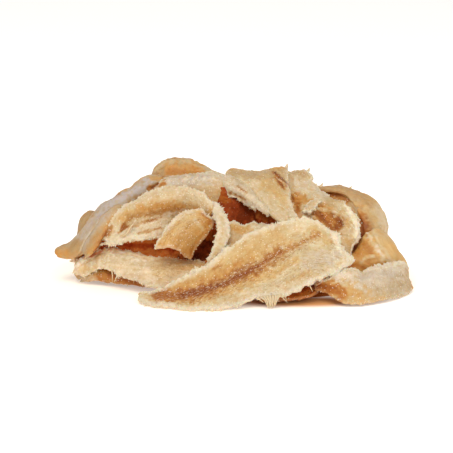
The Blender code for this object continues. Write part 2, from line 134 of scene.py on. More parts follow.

# %% [markdown]
# ## The rails of each strip
#
# A torn strip is a curled sheet. The simplest description of one is its two rims and, where it has a fold
# or a trough, one or two lines between them. Each line here is a rail: a few points in the front elevation
# with their depth, and a smooth curve runs through them. A scan or a sculpt would also do, but rails stay
# readable, and a strip is bent by moving one point. Three of them are walls: fish that lies deep in a gap
# of the heap and closes it, and their colours carry painted shade of that gap.

# %% The strips that the front shows
FRONT_STRIPS = {
    "front_fillet": [
        [(-28, 5.6, -25), (-21.8, 7.2, -26.4), (-16, 10.6, -26), (-10.8, 13.2, -25), (-6, 15, -23.4),
         (-1.2, 19.6, -21), (4.6, 23.9, -18.4), (11, 26.4, -16.4), (18, 28.8, -14), (24.5, 30.5, -12),
         (28.4, 29.4, -12.6), (31.4, 26.8, -14), (33, 25.4, -14.8), (36.4, 25.2, -15.5)],
        [(-28, 4.6, -27), (-20, 4.8, -28), (-12, 5.8, -28.5), (0, 9.3, -26), (10, 14, -22),
         (17, 18, -19.5), (25, 22, -17), (32, 22, -17.5), (36.8, 20.7, -18)],
        [(-28.4, 3.5, -29), (-25, 1.7, -32.5), (-20, 0.9, -34.8), (-14, 0, -37), (-8, -0.1, -37.4),
         (-2, 0, -37), (3.6, 1.2, -35.4), (8, 3.2, -33.6), (13, 4.4, -33), (19, 4.8, -32.8),
         (25, 6.8, -31.4), (31, 9.6, -29.6), (37, 12.6, -27), (41.8, 16, -24)],
    ],
    "curled_leaf": [
        [(-41.6, 21, -9.8), (-37.8, 28, -8), (-33.6, 33.4, -4.4), (-28, 36, -1.4), (-22.9, 38.7, -0.4),
         (-18, 39.8, 0), (-12, 39.8, -1.2), (-8.6, 38.8, -2.6), (-5.6, 36.6, -5.4), (-3.2, 34.3, -8)],
        [(-39.6, 22, -10), (-34.6, 28, -8.6), (-30, 32, -6), (-24, 35, -4), (-18, 36, -3),
         (-12, 35.4, -3.5), (-8.4, 34.2, -5.2), (-6, 32.4, -7.6), (-4.4, 30.6, -9.8)],
        [(-38.6, 22, -10), (-33, 25.5, -8.6), (-28, 28.3, -6), (-22, 30, -4), (-16, 29.6, -3),
         (-11, 28, -3), (-6.4, 27, -5.6)],
        [(-41, 20.8, -10.4), (-36, 20.7, -11), (-30, 21.4, -12), (-24, 22.5, -12), (-18, 22.5, -10),
         (-13, 21.6, -8), (-9, 22.4, -6)],
    ],
    "leaf_band": [
        [(-9.6, 38.6, 0), (-6.6, 36.8, -2.6), (-4.2, 35, -5.6), (-1.8, 32.4, -9), (0.5, 30.9, -11.4),
         (1.4, 28.2, -13.6), (1.6, 24.4, -16), (0.4, 20, -18.4), (-4, 14, -21.4), (-8, 9, -22.6)],
        [(-10, 35, -1), (-7.4, 33.6, -3.8), (-5.4, 31.4, -7.6), (-3.7, 29.4, -11.4), (-3, 27, -14),
         (-3.1, 24, -16.4), (-4.8, 20, -18.6), (-6.6, 15, -20.4), (-10, 9, -21.4)],
    ],
    "leaf_tongue": [
        [(-8, 32.6, -7.5), (-14.2, 31, -9.5), (-18.8, 26.6, -12.5), (-21.8, 23, -15), (-23.8, 19.2, -17)],
        [(-6.5, 30.5, -10), (-11, 27.5, -14), (-14.5, 24.5, -17), (-17.5, 19.6, -18.5)],
        [(-3.6, 28.8, -9.5), (-5.4, 24.8, -12.5), (-8.4, 21, -14.5), (-11.4, 15.6, -15.5)],
    ],
    "lower_left_fillet": [
        [(-48.4, 15.8, -5), (-45.4, 17.4, -5.5), (-41, 19.4, -6), (-35.4, 20.2, -7), (-29, 18.5, -8),
         (-24, 17.2, -9), (-16, 16.6, -10), (-9, 15.9, -12), (0, 14.5, -15)],
        [(-48.2, 13.8, -6), (-41, 15, -9.5), (-33, 15, -12.5), (-25, 12.5, -15.5), (-14, 11.5, -17.5),
         (-3, 10.5, -20)],
        [(-48.8, 11.4, -6), (-46, 11, -8), (-42, 12.2, -10), (-38, 12.4, -12), (-34.5, 10.8, -14),
         (-31, 9.8, -16), (-27, 8, -19), (-20, 6, -21.5), (-6, 6.5, -23)],
    ],
    "under_left": [
        [(-48.2, 13.4, -2), (-44, 14.4, -4.6), (-38, 14.8, -7.6), (-31, 12.4, -10), (-22, 10.4, -12)],
        [(-46.6, 10.2, -4), (-43.4, 8.8, -8), (-38.5, 8.9, -9.5), (-33, 8.2, -11.5), (-24, 6.6, -14)],
    ],
    "skin_side_strip": [
        [(-18, 43, 8), (-24, 43.4, 7.5), (-28, 41.8, 6.5), (-30.6, 39.6, 5.6), (-33.5, 38.4, 5),
         (-35.6, 35.9, 4), (-39.4, 33.9, 3), (-41.4, 31.4, 1.5), (-43.4, 28.6, 1), (-46, 25.4, 0),
         (-49, 22.3, -1), (-51.9, 20.9, -2), (-53.6, 20, -2.5)],
        [(-17, 41.6, 6), (-25, 40, 4.4), (-30, 37.4, 2.4), (-34.6, 34.2, 0.4), (-38.6, 31.2, -2),
         (-41.6, 28.6, -3.6), (-44.4, 25, -4.8), (-46.8, 21.6, -5.6), (-49.4, 19, -5.8),
         (-54.6, 18.6, -4.6)],
        [(-16, 39, 6), (-24, 36.4, 3.2), (-29, 34.6, 1.2), (-33, 32.6, -1.4), (-36.8, 30.6, -4.6),
         (-39.8, 28, -6.6), (-42.4, 25, -7.8), (-44.6, 21.4, -8.4), (-46.4, 18, -8.4),
         (-49.4, 16.3, -7.4), (-53.2, 17, -5.4)],
    ],
    "side_fold": [
        [(-34, 33.6, 0.4), (-37.2, 31.8, -1.4), (-40.4, 28.8, -3.2), (-43.2, 25, -4.6), (-45.8, 21, -5.2),
         (-48.2, 17, -5.8)],
        [(-33, 33, -3.2), (-35.2, 30.8, -6.4), (-38, 27.4, -8.8), (-40.8, 23.4, -10.2),
         (-44.8, 17.6, -10.4)],
        [(-33, 31.8, -4.4), (-35, 29.4, -7.2), (-37.4, 26, -9.4), (-39.4, 22.6, -10.6), (-41.6, 19, -11.2),
         (-46, 15.6, -10)],
    ],
    "left_tip": [
        [(-42, 25, 3), (-46.4, 22.8, 1.5), (-50, 20.6, 0), (-53.4, 19.4, -1)],
        [(-42, 17, 0), (-46, 16.4, -2), (-50.4, 16.6, -3), (-53, 17.2, -3)],
    ],
    "left_lobe": [
        [(-30, 31, 11), (-38, 30.4, 8), (-42, 31, 6), (-43.9, 31.9, 5), (-45.6, 30.4, 4), (-46.6, 28.2, 3),
         (-46.8, 25, 2), (-47, 18, 2)],
        [(-32, 27, 3), (-39, 24, 0), (-42, 21, -1), (-44, 18, -1), (-44.6, 13, 0)],
    ],
    "back_arc": [
        [(-24.5, 41.4, 12), (-22.6, 45, 14), (-19, 47.9, 15), (-14.4, 48.4, 15), (-10.6, 47.8, 15),
         (-6, 45.6, 14), (-1.6, 43.8, 13), (3, 42, 12)],
        [(-23, 39, 9), (-16, 39, 7), (-10, 39, 6), (0, 37, 6)],
    ],
    "top_left_ridge": [
        [(-21, 42.8, 8), (-15, 43, 9), (-8, 43.7, 9), (-4.4, 44.3, 9.6), (-1.4, 43.5, 9.6), (1.4, 43, 11),
         (5, 40, 15)],
        [(-22.5, 39.8, 3), (-17, 40.6, 4), (-10, 40.8, 4), (-5, 40, 4), (-1.6, 38.4, 5.4), (1, 36.4, 9),
         (4, 34, 14)],
        [(-24, 37.3, 2), (-17, 37.6, 2), (-10, 36, 1), (-5, 33.6, 0), (-1.6, 31.4, 3.4), (2, 28.6, 10)],
    ],
    "hollow_wall": [
        [(-6, 40, 5), (2, 39, 5.4), (7, 37, 4), (11, 34.6, 0.4), (16, 30.2, -5.4), (20, 27, -9)],
        [(-6, 27, -3), (3, 25.5, -2.6), (8, 25, -3), (12, 26, -5), (16, 25.4, -8), (20, 24, -10)],
    ],
    "leaf_wall": [
        [(-40, 22.6, -3), (-34, 23, -4.6), (-26, 23.6, -5.4), (-18, 23.6, -6.4), (-11, 24.6, -7.6),
         (-4, 27.4, -9), (0, 29, -9)],
        [(-40, 17.6, -4), (-34, 17, -6), (-26, 15.6, -7.4), (-18, 14.6, -9.4), (-11, 14, -11.6),
         (-4, 14.5, -14), (0, 15, -16)],
    ],
    "top_shell": [
        [(-4, 43.4, 13), (1.6, 43, 8.2), (5.6, 41, 4.2), (9.8, 36.6, -0.8), (14, 31.6, -6.4)],
        [(-5, 41.6, 13), (-2.6, 38, 8.6), (-0.4, 35.8, 4.6), (1.6, 35.8, 3), (5, 33.9, 0),
         (7.6, 32.6, -2.4), (10.6, 31.2, -5), (14, 29.4, -7.4)],
    ],
    "top_slab": [
        [(0.4, 45.7, 11), (-0.6, 43.6, 9.6), (2.2, 42, 7), (4.9, 40, 4.7), (7, 38.2, 2.6),
         (9.4, 35.6, -0.8), (11.4, 33, -4), (14, 30.2, -8), (17, 27.4, -13)],
        [(9.6, 44.5, 13), (12, 40.8, 5), (14.5, 36.8, -1), (17, 32, -7), (20, 27.5, -13)],
        [(19.2, 46.2, 12), (20, 41.5, 6), (20.6, 37.5, 1), (21.2, 33.5, -5), (23.5, 28, -12)],
    ],
    "torn_strip": [
        [(18, 44.2, 11.5), (18, 38, 6), (18.6, 33.3, 0), (21.6, 29, -5.5), (27.4, 24.6, -10),
         (30, 17, -13)],
        [(23.4, 44.6, 12.5), (25.2, 39.6, 6.4), (28.2, 35, 0.6), (32, 31, -4.5), (36, 26, -8.5),
         (37, 17, -13)],
        [(26.4, 45.1, 12), (27.7, 42, 9.6), (29.4, 39.6, 7.6), (31.4, 37.6, 5.8), (34.6, 35.3, 3.4),
         (38.4, 34.2, 0.6), (40.2, 31.6, -1.6), (42, 29.4, -3.6), (42.5, 26, -5.6), (42, 23, -7.8),
         (40.6, 20, -10), (39.6, 16, -12)],
    ],
    "window_flake": [
        [(22.6, 31.2, -8), (24.4, 33, -4.4), (26.6, 34.8, -1.4), (27.8, 35.6, 0)],
        [(26.8, 30, -9.4), (28.6, 31.8, -5.6), (30.2, 33.6, -3), (31.2, 34.8, -1)],
    ],
    "right_loop": [
        [(24, 39.4, 14), (31, 39.2, 13), (33.4, 39.4, 13), (35.7, 39.8, 12.6), (39, 39.1, 12),
         (42, 38.1, 11.4), (44.6, 37, 10.4), (47.4, 34.8, 9), (49.4, 32.3, 7), (50.8, 29.6, 5),
         (51.4, 27, 3), (51.1, 23.6, 0.5), (50.6, 18, -2)],
        [(26, 38.4, 10), (33, 38.4, 9), (38, 37.4, 8), (42, 35, 6.5), (45, 31.8, 4.5), (46.8, 28, 1.5),
         (47.6, 23.6, -1.5), (47.6, 18, -4)],
        [(25, 37.7, 9.4), (31.6, 37.6, 9), (35, 37.4, 8.4), (38.4, 36, 7), (40.4, 33.4, 5), (41.8, 30.4, 3),
         (43, 27.4, 1.6), (43.6, 24, 0), (43.6, 18, -2)],
    ],
    "loop_wall": [
        [(24, 39, 12), (32, 38.6, 11), (38, 37.4, 9.6), (42, 33.6, 5.4), (45, 28, 2.4), (46, 22, -0.6)],
        [(24, 32, 6.6), (32, 32, 5.6), (37, 31, 3.4), (40, 27, 0.2), (40.6, 22, -2.6), (40, 17, -4.6)],
    ],
    "right_curl": [
        [(50.8, 24.8, -0.4), (52.3, 22.2, -2.4), (55, 18, -5.4), (56.8, 15.8, -6.6), (57.6, 13.2, -7),
         (57.2, 9, -8)],
        [(47.4, 26.3, -2.4), (50, 23.4, -5), (52.4, 19.8, -8), (54.2, 15.6, -10), (54.8, 10, -10.6)],
        [(44.8, 25, -4), (46.4, 21.4, -8.4), (48.2, 17.6, -12), (49.2, 12, -13)],
        [(43.2, 22.8, -4.6), (41, 20, -7.8), (38.6, 16, -12), (37, 10, -14.6)],
    ],
    "right_slab": [
        [(28, 8.8, -28), (31.5, 10.8, -28), (36, 12.8, -26.4), (39.5, 13.8, -24.4), (42.4, 12.9, -21.8),
         (44.8, 14.6, -19.4), (48.6, 14.8, -17), (52.6, 15.8, -14), (55.8, 15.8, -12.4), (57.6, 14, -11.4)],
        [(27.6, 7.7, -26), (33, 8, -28), (38, 8, -28.5), (43, 8.5, -27), (50, 9.8, -22), (58.4, 10, -13.6)],
        [(28, 6.9, -27), (31.4, 5.5, -28.6), (34.4, 3.7, -31), (38, 2.2, -32.6), (42.2, 1.7, -33),
         (47, 2.6, -30.6), (51.6, 3.7, -27), (56, 4.4, -22.4), (59.6, 6.8, -16.6)],
    ],
    "under_front": [
        [(8, 8, -20), (20, 8.2, -20), (26, 8, -20.6), (30, 7.4, -21.6)],
        [(10.6, 2.9, -31), (16, 3.3, -30.4), (22, 3.7, -29.6), (26, 4.3, -28.8), (29.4, 6.4, -26)],
    ],
    "deep_middle": [
        [(-1, 28.9, -11), (2, 28.7, -10), (4.4, 27.7, -9.4), (6, 27.3, -9), (8.6, 28.4, -8.6),
         (11, 27.9, -8.4), (16, 27.5, -8.8), (19, 27.2, -9.4)],
        [(-2, 16, -21), (8, 20, -19.5), (18, 22, -16.5)],
    ],
}

FRONT_BULGE = {
    "under_left": 1.0,
    "leaf_band": 0.6,
    "left_lobe": 2.5,
    "left_tip": 2.2,
    "back_arc": 1.5,
    "hollow_wall": -1.0,
    "loop_wall": -0.8,
    "leaf_wall": -0.8,
    "top_shell": 0.8,
    "window_flake": 0.5,
    "under_front": 0.6,
    "deep_middle": -0.8,
}

# %% [markdown]
# ## Tones
#
# Dried fish has few colours, and they tell how thick and how dry it is: cream where torn fibres scatter
# the light, amber where the flesh is thin and clear, brown along the lateral line, lilac grey where the
# skin was. A russet, a deep red and the darkest brown are painted shade for gaps and hollows. All of them
# are written as a paint chart of screen values, and turned into the linear values that light is computed
# with.

# %% Mix the tones
CHART = {
    "salt_white": (246, 236, 214),
    "white_rim": (222, 206, 179),
    "cream": (210, 187, 150),
    "pink_cream": (203, 183, 154),
    "straw": (201, 176, 135),
    "pale_straw": (207, 185, 144),
    "honey": (201, 157, 94),
    "amber": (196, 138, 66),
    "amber_deep": (172, 104, 36),
    "tan": (178, 145, 101),
    "lilac": (183, 170, 162),
    "ash": (205, 188, 166),
    "brown": (142, 76, 22),
    "brown_deep": (112, 48, 12),
    # The russet below, the deep red after it and the darkest brown serve as painted shade for gaps and
    # hollows.
    "shade_russet": (156, 60, 24),
    "hollow_shade_red": (152, 68, 31),
    "rust": (204, 126, 64),
    "dark": (74, 26, 8),
}


def linear(screen):
    """Screen values from 0 to 255 as linear light from 0 to 1."""
    share = np.array(screen, dtype=float) / 255.0
    return np.where(share <= 0.04045, share / 12.92, ((share + 0.055) / 1.055) ** 2.4)


TONES = {name: linear(screen) for name, screen in CHART.items()}
print(len(TONES), "tones; cream is", np.round(TONES["cream"], 3))

# %% [markdown]
# ## What each strip looks like
#
# For each strip the table gives the tone of the side that shows, the tone of the side that doesn't, how
# pale and torn its rims are, and how far the pale rim reaches in. Skin and cut rims stay dark and smooth,
# torn ones are cream and crumbly. Where the rims differ there are four numbers: the first rail, the last
# rail, the start and the end.

# %% Give each front strip its look
FRONT_LOOKS = {
    "front_fillet": ("pale_straw", "tan", (1.0, 1.0, 0.4, 1.2), 2.2),
    "curled_leaf": ("straw", "tan", (0.8, 0.7, 0.3, 0.0), 2.0),
    "leaf_band": ("straw", "tan", (1.2, 0.9, 0.0, 0.3), 2.2),
    "leaf_tongue": ("honey", "amber", (1.0, 0.35, 0.9, 0.4), 1.7),
    "lower_left_fillet": ("cream", "tan", (0.9, 0.6, 0.4, 0.4), 1.8),
    "under_left": ("tan", "amber_deep", 0.15, 0.8),
    "skin_side_strip": ("tan", "amber", (0.15, 0.1, 0.3, 0.0), 0.9),
    "side_fold": ("tan", "amber", 0.0, 0.8),
    "left_tip": ("tan", "amber", 0.1, 0.8),
    "left_lobe": ("tan", "amber", 0.1, 0.8),
    "back_arc": ("tan", "tan", 0.0, 1.0),
    "top_left_ridge": ("pink_cream", "tan", (0.7, 0.0, 0.4, 0.0), 1.4),
    # The hollow wall is coloured all over with painted shade of the hollow.
    "hollow_wall": ("hollow_shade_red", "hollow_shade_red", 0.0, 1.0),
    "leaf_wall": ("rust", "hollow_shade_red", 0.0, 1.0),
    "top_shell": ("pink_cream", "tan", (0.0, 1.2, 0.0, 0.6), 1.5),
    "top_slab": ("pale_straw", "tan", (0.0, 0.4, 0.1, 0.3), 1.6),
    "torn_strip": ("straw", "tan", (0.5, 1.2, 0.3, 0.5), 1.6),
    "window_flake": ("cream", "cream", 1.3, 1.2),
    "right_loop": ("straw", "amber", (0.05, 0.0, 0.1, 0.0), 0.9),
    "loop_wall": ("tan", "amber_deep", 0.0, 1.0),
    "right_curl": ("honey", "amber", 0.0, 0.9),
    "right_slab": ("pink_cream", "tan", (0.95, 0.15, 0.3, 0.2), 1.5),
    "under_front": ("amber_deep", "brown", 0.1, 0.8),
    "deep_middle": ("straw", "tan", (1.0, 0.2, 0.5, 0.4), 1.6),
}

# %% [markdown]
# ## Stains, cracks, ridges and painted shade
#
# A mark is a line or a spot on the front elevation, drawn with a soft, uneven edge on one strip: its tone,
# how strong it is, how wide, how far it stands out (less than zero is sunk), and the points it runs
# through. Most marks are the fish's own stains, cracks and ridges, but some are painted shade, in creases,
# hollows and gaps and under strips that overhang, and one is a painted highlight. The brown lateral line of
# the front fillet is several of them on one route: a wide stain, darker sunk cores and flecks. The tone
# "flecks" paints nothing by itself. It says where the finish breaks up into short dark and pale flecks.

# %% Mark the front strips
LATERAL_LINE = [(-22, 4.6), (-14, 5), (-9, 6), (-5, 7.5), (0, 9.3), (3, 11), (6, 12.5), (10, 14), (17, 18),
                (21, 20), (25, 22), (29, 24)]
MARKS = {
    "front_fillet": [
        ("honey", 0.55, 4.4, 0.0, [(-20, 6.6), (-12, 9.4), (-4, 12.4), (3, 16.5), (9, 20), (16, 23)]),
        ("amber", 0.45, 2.6, -0.1, [(-20, 6), (-12, 8), (-4, 10.6), (3, 13.8), (8, 16.4)]),
        ("amber", 0.45, 2.2, 0.0, [(-20, 3.8), (-12, 3.8), (-4, 5), (4, 8), (9, 11)]),
        ("amber", 0.4, 1.6, 0.0, [(10, 10), (17, 13), (22, 16)]),
        ("honey", 0.6, 1.6, 0.0, [(27, 26), (30, 24), (32, 22)]),
        ("cream", 0.8, 1.8, 0.15, [(-26, 3.4), (-18, 1.2), (-8, 1), (2, 2.2), (12, 5.4), (24, 8.4),
                                   (36, 13)]),
        ("ash", 0.7, 3.0, 0.15, [(25, 15), (30, 16.6), (34, 17.6)]),
        ("salt_white", 0.8, 1.5, 0.2, [(34.2, 24.8), (34.6, 22.4), (36.4, 20), (39, 17.6)]),
        ("amber_deep", 0.65, 2.2, -0.15, LATERAL_LINE[:9]),
        ("amber", 0.5, 1.5, -0.1, LATERAL_LINE[8:]),
        ("brown", 0.5, 1.9, -0.2, LATERAL_LINE[:9]),
        ("brown_deep", 0.45, 1.2, -0.2, LATERAL_LINE[1:8]),
        ("brown", 0.35, 0.8, -0.2, LATERAL_LINE[7:]),
        ("flecks", 1.0, 2.6, 0.25, LATERAL_LINE),
        ("flecks", 0.6, 4.2, 0.1, [(12, 8.6), (20, 12), (28, 15.4), (35, 17.6)]),
        ("flecks", 0.7, 2.2, 0.1, [(-20, 3.6), (-10, 3.6), (0, 6.4), (8, 9.6)]),
        ("ash", 0.6, 0.5, 0.3, [(-4, 8.4), (0, 10.2), (3, 12), (7, 14), (12, 16.4)]),
        ("ash", 0.6, 0.5, 0.3, [(9, 13), (16, 16.8), (24, 20.8), (29, 23.6)]),
        ("white_rim", 0.8, 0.45, 0.35, [(24, 12.6), (27, 12.2), (29.4, 13.4)]),
        ("white_rim", 0.8, 0.45, 0.35, [(4, 5.6), (9, 6), (12, 7.4)]),
        ("white_rim", 0.7, 0.4, 0.35, [(16, 11), (20, 13.6), (25, 16)]),
        ("brown", 0.5, 0.5, -0.3, [(-4.4, 13.4), (-1.4, 14.4)]),
        ("honey", 0.6, 0.6, -0.3, [(19, 9), (24, 11.4), (27, 12.6)]),
    ],
    "curled_leaf": [
        ("flecks", 0.5, 2.8, 0.1, [(-35, 26), (-26, 28.6), (-15, 30.6)]),
        ("cream", 0.95, 3.3, 0.1, [(-38, 25), (-34.5, 30), (-31, 34), (-25, 36.6), (-18.5, 38.2),
                                   (-12, 38.2), (-7, 36)]),
        ("honey", 0.8, 2.2, 0.0, [(-33, 29.4), (-28, 31.6), (-22, 33), (-16, 33.2), (-9, 31.4)]),
        ("amber", 0.8, 1.3, -0.2, [(-27, 32.2), (-22, 33.2), (-16, 33), (-12, 32)]),
        ("brown", 0.4, 0.9, -0.2, [(-31, 29.4), (-25, 31), (-19, 31.4), (-14, 32.4)]),
        ("ash", 0.8, 0.7, 0.15, [(-20, 30.6), (-15.5, 31.4), (-11.5, 32.8)]),
        ("white_rim", 0.8, 2.6, 0.1, [(-36, 25), (-29, 26.6), (-20, 27)]),
        ("white_rim", 0.85, 0.9, 0.3, [(-38, 22.6), (-30, 23.4), (-24, 24.4), (-18, 25.4)]),
        ("brown", 0.6, 0.45, -0.25, [(-32, 26.6), (-27, 28), (-21, 29.7)]),
        ("brown", 0.6, 0.4, -0.2, [(-28, 24.6), (-21, 26.4)]),
        ("cream", 0.9, 0.6, 0.5, [(-30.4, 27), (-31.3, 25.2), (-33.4, 23.6)]),
        # Painted shade, partly on sunk lines: brown beside the torn step and along the seam at the left edge,
        # deep amber at the right end under the band.
        ("brown", 0.8, 0.7, -0.4, [(-32.2, 27.2), (-33.4, 25.4)]),
        ("brown", 0.7, 0.7, -0.3, [(-38.2, 24), (-36.6, 27)]),
        ("amber_deep", 0.85, 1.9, 0.0, [(-5.6, 31.4), (-6, 28), (-8, 24)]),
        ("cream", 0.8, 1.7, 0.1, [(-10, 37), (-6.6, 34.6), (-4.6, 32.6)]),
    ],
    "leaf_band": [
        ("straw", 0.6, 1.0, 0.0, [(-2, 29), (-2.2, 24), (-4, 19)]),
    ],
    "leaf_tongue": [
        ("white_rim", 0.8, 1.3, 0.25, [(-10, 32), (-14, 30.8), (-18.5, 26.8), (-21.6, 22.8)]),
        ("cream", 0.5, 1.7, 0.1, [(-11, 29.6), (-15.5, 25.4)]),
        ("ash", 0.7, 0.5, 0.4, [(-10, 28.8), (-7.6, 26.4), (-6.8, 24.8)]),
        ("amber", 0.8, 2.2, 0.0, [(-10.5, 19.5), (-8, 22.6), (-6, 25.6)]),
        ("amber_deep", 0.7, 1.3, 0.0, [(-6.6, 31), (-5, 28.6)]),
        ("amber", 0.85, 1.8, 0.0, [(-21, 19.6), (-14, 18.4)]),
        ("flecks", 0.6, 3.6, 0.1, [(-20, 21), (-15, 25.6), (-9, 29.6)]),
    ],
    "lower_left_fillet": [
        ("salt_white", 0.8, 1.5, 0.2, [(-47, 16), (-41, 18.8), (-35, 19.6), (-29, 18), (-24, 16.8)]),
        ("flecks", 0.7, 3.0, 0.1, [(-22, 12), (-14, 13.6), (-6, 13)]),
        ("honey", 0.4, 3.0, 0.0, [(-22, 12.5), (-15, 13.5)]),
        ("amber", 0.3, 2.4, 0.0, [(-14, 15), (-7, 14)]),
        ("ash", 0.7, 0.7, 0.4, [(-14.6, 14.6), (-11, 15.4), (-8.4, 15.6)]),
        ("honey", 0.5, 1.4, 0.0, [(-45, 12.8), (-40, 12.8)]),
        ("white_rim", 0.7, 0.5, 0.35, [(-43.2, 13.3), (-42.6, 16.6)]),
        ("white_rim", 0.7, 0.5, 0.35, [(-40.6, 13), (-40, 17)]),
        ("white_rim", 0.7, 0.5, 0.35, [(-38, 13), (-37.4, 17.3)]),
    ],
    "under_left": [
        # Painted shade under the lower-left fillet: deep amber with a brown core.
        ("amber_deep", 0.95, 2.8, 0.0, [(-40, 11.6), (-37, 11), (-33, 10), (-29, 9), (-25, 8)]),
        ("brown", 0.7, 0.8, 0.0, [(-37, 11.4), (-34, 10.6), (-29, 9)]),
        ("ash", 0.5, 1.2, 0.0, [(-45, 10.8), (-42, 10)]),
    ],
    "skin_side_strip": [
        ("lilac", 1.0, 3.4, 0.0, [(-23, 41), (-30, 38), (-35, 34.6), (-39, 31.4)]),
        ("lilac", 0.8, 1.6, 0.0, [(-39, 31), (-43, 27.4), (-46, 23)]),
        # Painted highlight on a raised line: pale ash along the edge of the fold.
        ("ash", 0.8, 0.45, 0.3, [(-38.4, 30.4), (-41, 27.6), (-43.6, 24.4), (-45.4, 21.6), (-46.4, 18.6)]),
        ("amber", 0.6, 0.8, 0.0, [(-29, 41.2), (-31.2, 39.2), (-34, 37.8)]),
        ("brown", 0.6, 0.4, -0.2, [(-36.8, 36), (-34, 37.4)]),
        ("amber", 0.8, 1.8, 0.0, [(-53.6, 18.4), (-51, 18)]),
        ("amber", 0.5, 1.4, 0.0, [(-49.6, 17.4), (-47.4, 18.6)]),
        # Painted shade in a sunk crease: deep amber with a dark brown core.
        ("amber_deep", 0.95, 0.9, -0.5, [(-24.4, 38.8), (-21.6, 40.2), (-19.4, 41)]),
        ("brown_deep", 0.6, 0.4, -0.4, [(-24, 39), (-21.6, 40.4)]),
        ("brown", 0.8, 0.5, -0.4, [(-20.6, 43.2), (-19.6, 42.2)]),
        ("amber", 0.7, 1.1, 0.0, [(-23, 42.2), (-20, 41.8)]),
    ],
    "side_fold": [
        ("lilac", 0.6, 0.8, 0.0, [(-36.6, 31.6), (-40, 28), (-43, 24), (-45.6, 19.6)]),
        # Painted shade along the seam with the leaf: amber with a brown core.
        ("amber", 0.8, 1.2, 0.0, [(-35.4, 29.6), (-37.8, 26.6), (-40, 22.8), (-43, 18.2)]),
        ("brown", 0.85, 0.7, 0.0, [(-35.2, 29), (-37.4, 25.8), (-39.2, 22.6), (-41.8, 18.8)]),
        ("ash", 0.5, 0.6, 0.2, [(-43.4, 17.6), (-45.6, 16.4)]),
    ],
    "back_arc": [
        ("straw", 0.7, 1.1, 0.3, [(-22.6, 44.6), (-20, 47), (-16, 47.8), (-11.6, 47.4), (-7.6, 45.4),
                                  (-3.6, 43.8)]),
        # Painted shade inside the curl of the arc, on a band that is also sunk.
        ("amber", 0.9, 2.0, -0.8, [(-18.6, 44.2), (-14, 45.4), (-9.6, 45)]),
        ("amber_deep", 0.6, 1.1, -0.4, [(-18.6, 43.6), (-14, 44.2), (-9, 43.6)]),
    ],
    "top_left_ridge": [
        ("lilac", 0.3, 2.0, 0.0, [(-20, 41.4), (-6, 42.2)]),
        ("white_rim", 0.7, 0.6, 0.4, [(-13.6, 41.4), (-11.6, 42.6)]),
        ("white_rim", 0.7, 0.5, 0.4, [(-11, 40.8), (-9.2, 42.4)]),
        ("white_rim", 0.7, 0.5, 0.4, [(-8.4, 40.6), (-6.6, 42.2)]),
        # Painted shade where the ridge turns down into the hollow: honey, deep amber and a russet edge.
        ("honey", 0.4, 2.4, 0.0, [(-7, 37.6), (-3.6, 38.4), (-1, 38.6)]),
        ("amber_deep", 0.3, 1.6, 0.0, [(-5, 35.4), (-2.4, 36), (0.4, 36.6)]),
        ("shade_russet", 0.95, 1.6, -0.1, [(-1.6, 33.4), (0.4, 35), (2.6, 35.8)]),
        # Painted shade in the sunk crease at the left end.
        ("amber_deep", 0.9, 0.9, -0.4, [(-23.4, 38.8), (-19.6, 40.6)]),
    ],
    "hollow_wall": [
        # Painted shade of the hollow: darkest in its depth, rust towards its right, deep amber at its upper
        # left.
        ("dark", 0.45, 2.6, 0.0, [(4.4, 29.8), (6.6, 30.6), (8, 29.8)]),
        ("rust", 1.0, 2.2, 0.3, [(10.4, 31.4), (12.6, 30.4), (15.4, 28.8)]),
        ("brown", 0.6, 0.5, -0.3, [(11, 30.6), (14, 29)]),
        ("amber_deep", 0.7, 1.6, 0.0, [(-3, 36.4), (-0.4, 35.4)]),
    ],
    "leaf_wall": [
        # Painted shade: a russet shadow under the leaf's lower rim, the dark gap beside the tongue, and deep
        # amber at the right end.
        ("shade_russet", 0.8, 1.0, 0.0, [(-36, 21.4), (-30, 20.8), (-24, 20.6), (-17, 19.6)]),
        ("dark", 0.95, 3.8, 0.0, [(-11, 15.4), (-8.4, 18), (-6.4, 21)]),
        ("amber_deep", 0.8, 1.6, 0.0, [(-6, 23.4), (-4.6, 26)]),
    ],
    "loop_wall": [
        # Painted shade: amber with brown cores in the slot under the loop's rim and low in its cup.
        ("amber", 0.9, 2.2, 0.0, [(31, 38), (35, 37), (38.4, 36)]),
        ("brown", 0.8, 0.9, -0.3, [(32.4, 37.4), (35, 36.8), (38.6, 35.8)]),
        ("amber", 0.6, 2.2, 0.0, [(42.6, 29), (43.4, 27), (43.4, 24)]),
        ("brown", 0.9, 1.6, 0.0, [(42.6, 28.4), (43.2, 26.6), (43.2, 24.4)]),
    ],
    "top_shell": [
        ("white_rim", 0.5, 2.6, 0.0, [(0, 40.6), (5, 37), (10, 33.4)]),
        ("brown", 0.8, 0.4, -0.4, [(1.2, 37.6), (3, 36.6), (5.6, 35.6)]),
        ("white_rim", 0.8, 1.0, 0.3, [(6, 37), (7.6, 35.8), (8.8, 34.6)]),
        ("white_rim", 0.6, 0.6, 0.2, [(1, 39), (4, 38)]),
        ("brown", 0.7, 0.35, -0.3, [(3.4, 39.8), (6.4, 37.6)]),
    ],
    "top_slab": [
        ("tan", 0.8, 2.8, 0.0, [(2, 44.4), (10, 43.2), (18, 43.8)]),
        ("cream", 1.0, 3.4, 0.1, [(7.6, 37), (11, 34.4), (17, 28.8)]),
        ("white_rim", 0.5, 1.2, 0.15, [(19, 36), (19.6, 33), (21, 30)]),
        ("honey", 0.7, 1.8, 0.0, [(12, 40.6), (15, 38.6), (18, 35.4)]),
        ("brown", 0.85, 0.35, -0.3, [(3, 41.7), (4.9, 40)]),
        ("brown", 0.9, 0.5, -0.4, [(14.8, 44.2), (17, 42.4), (19.6, 39.9)]),
        ("brown_deep", 0.9, 0.3, -0.5, [(15.4, 43.9), (17.4, 42.2), (19.8, 40)]),
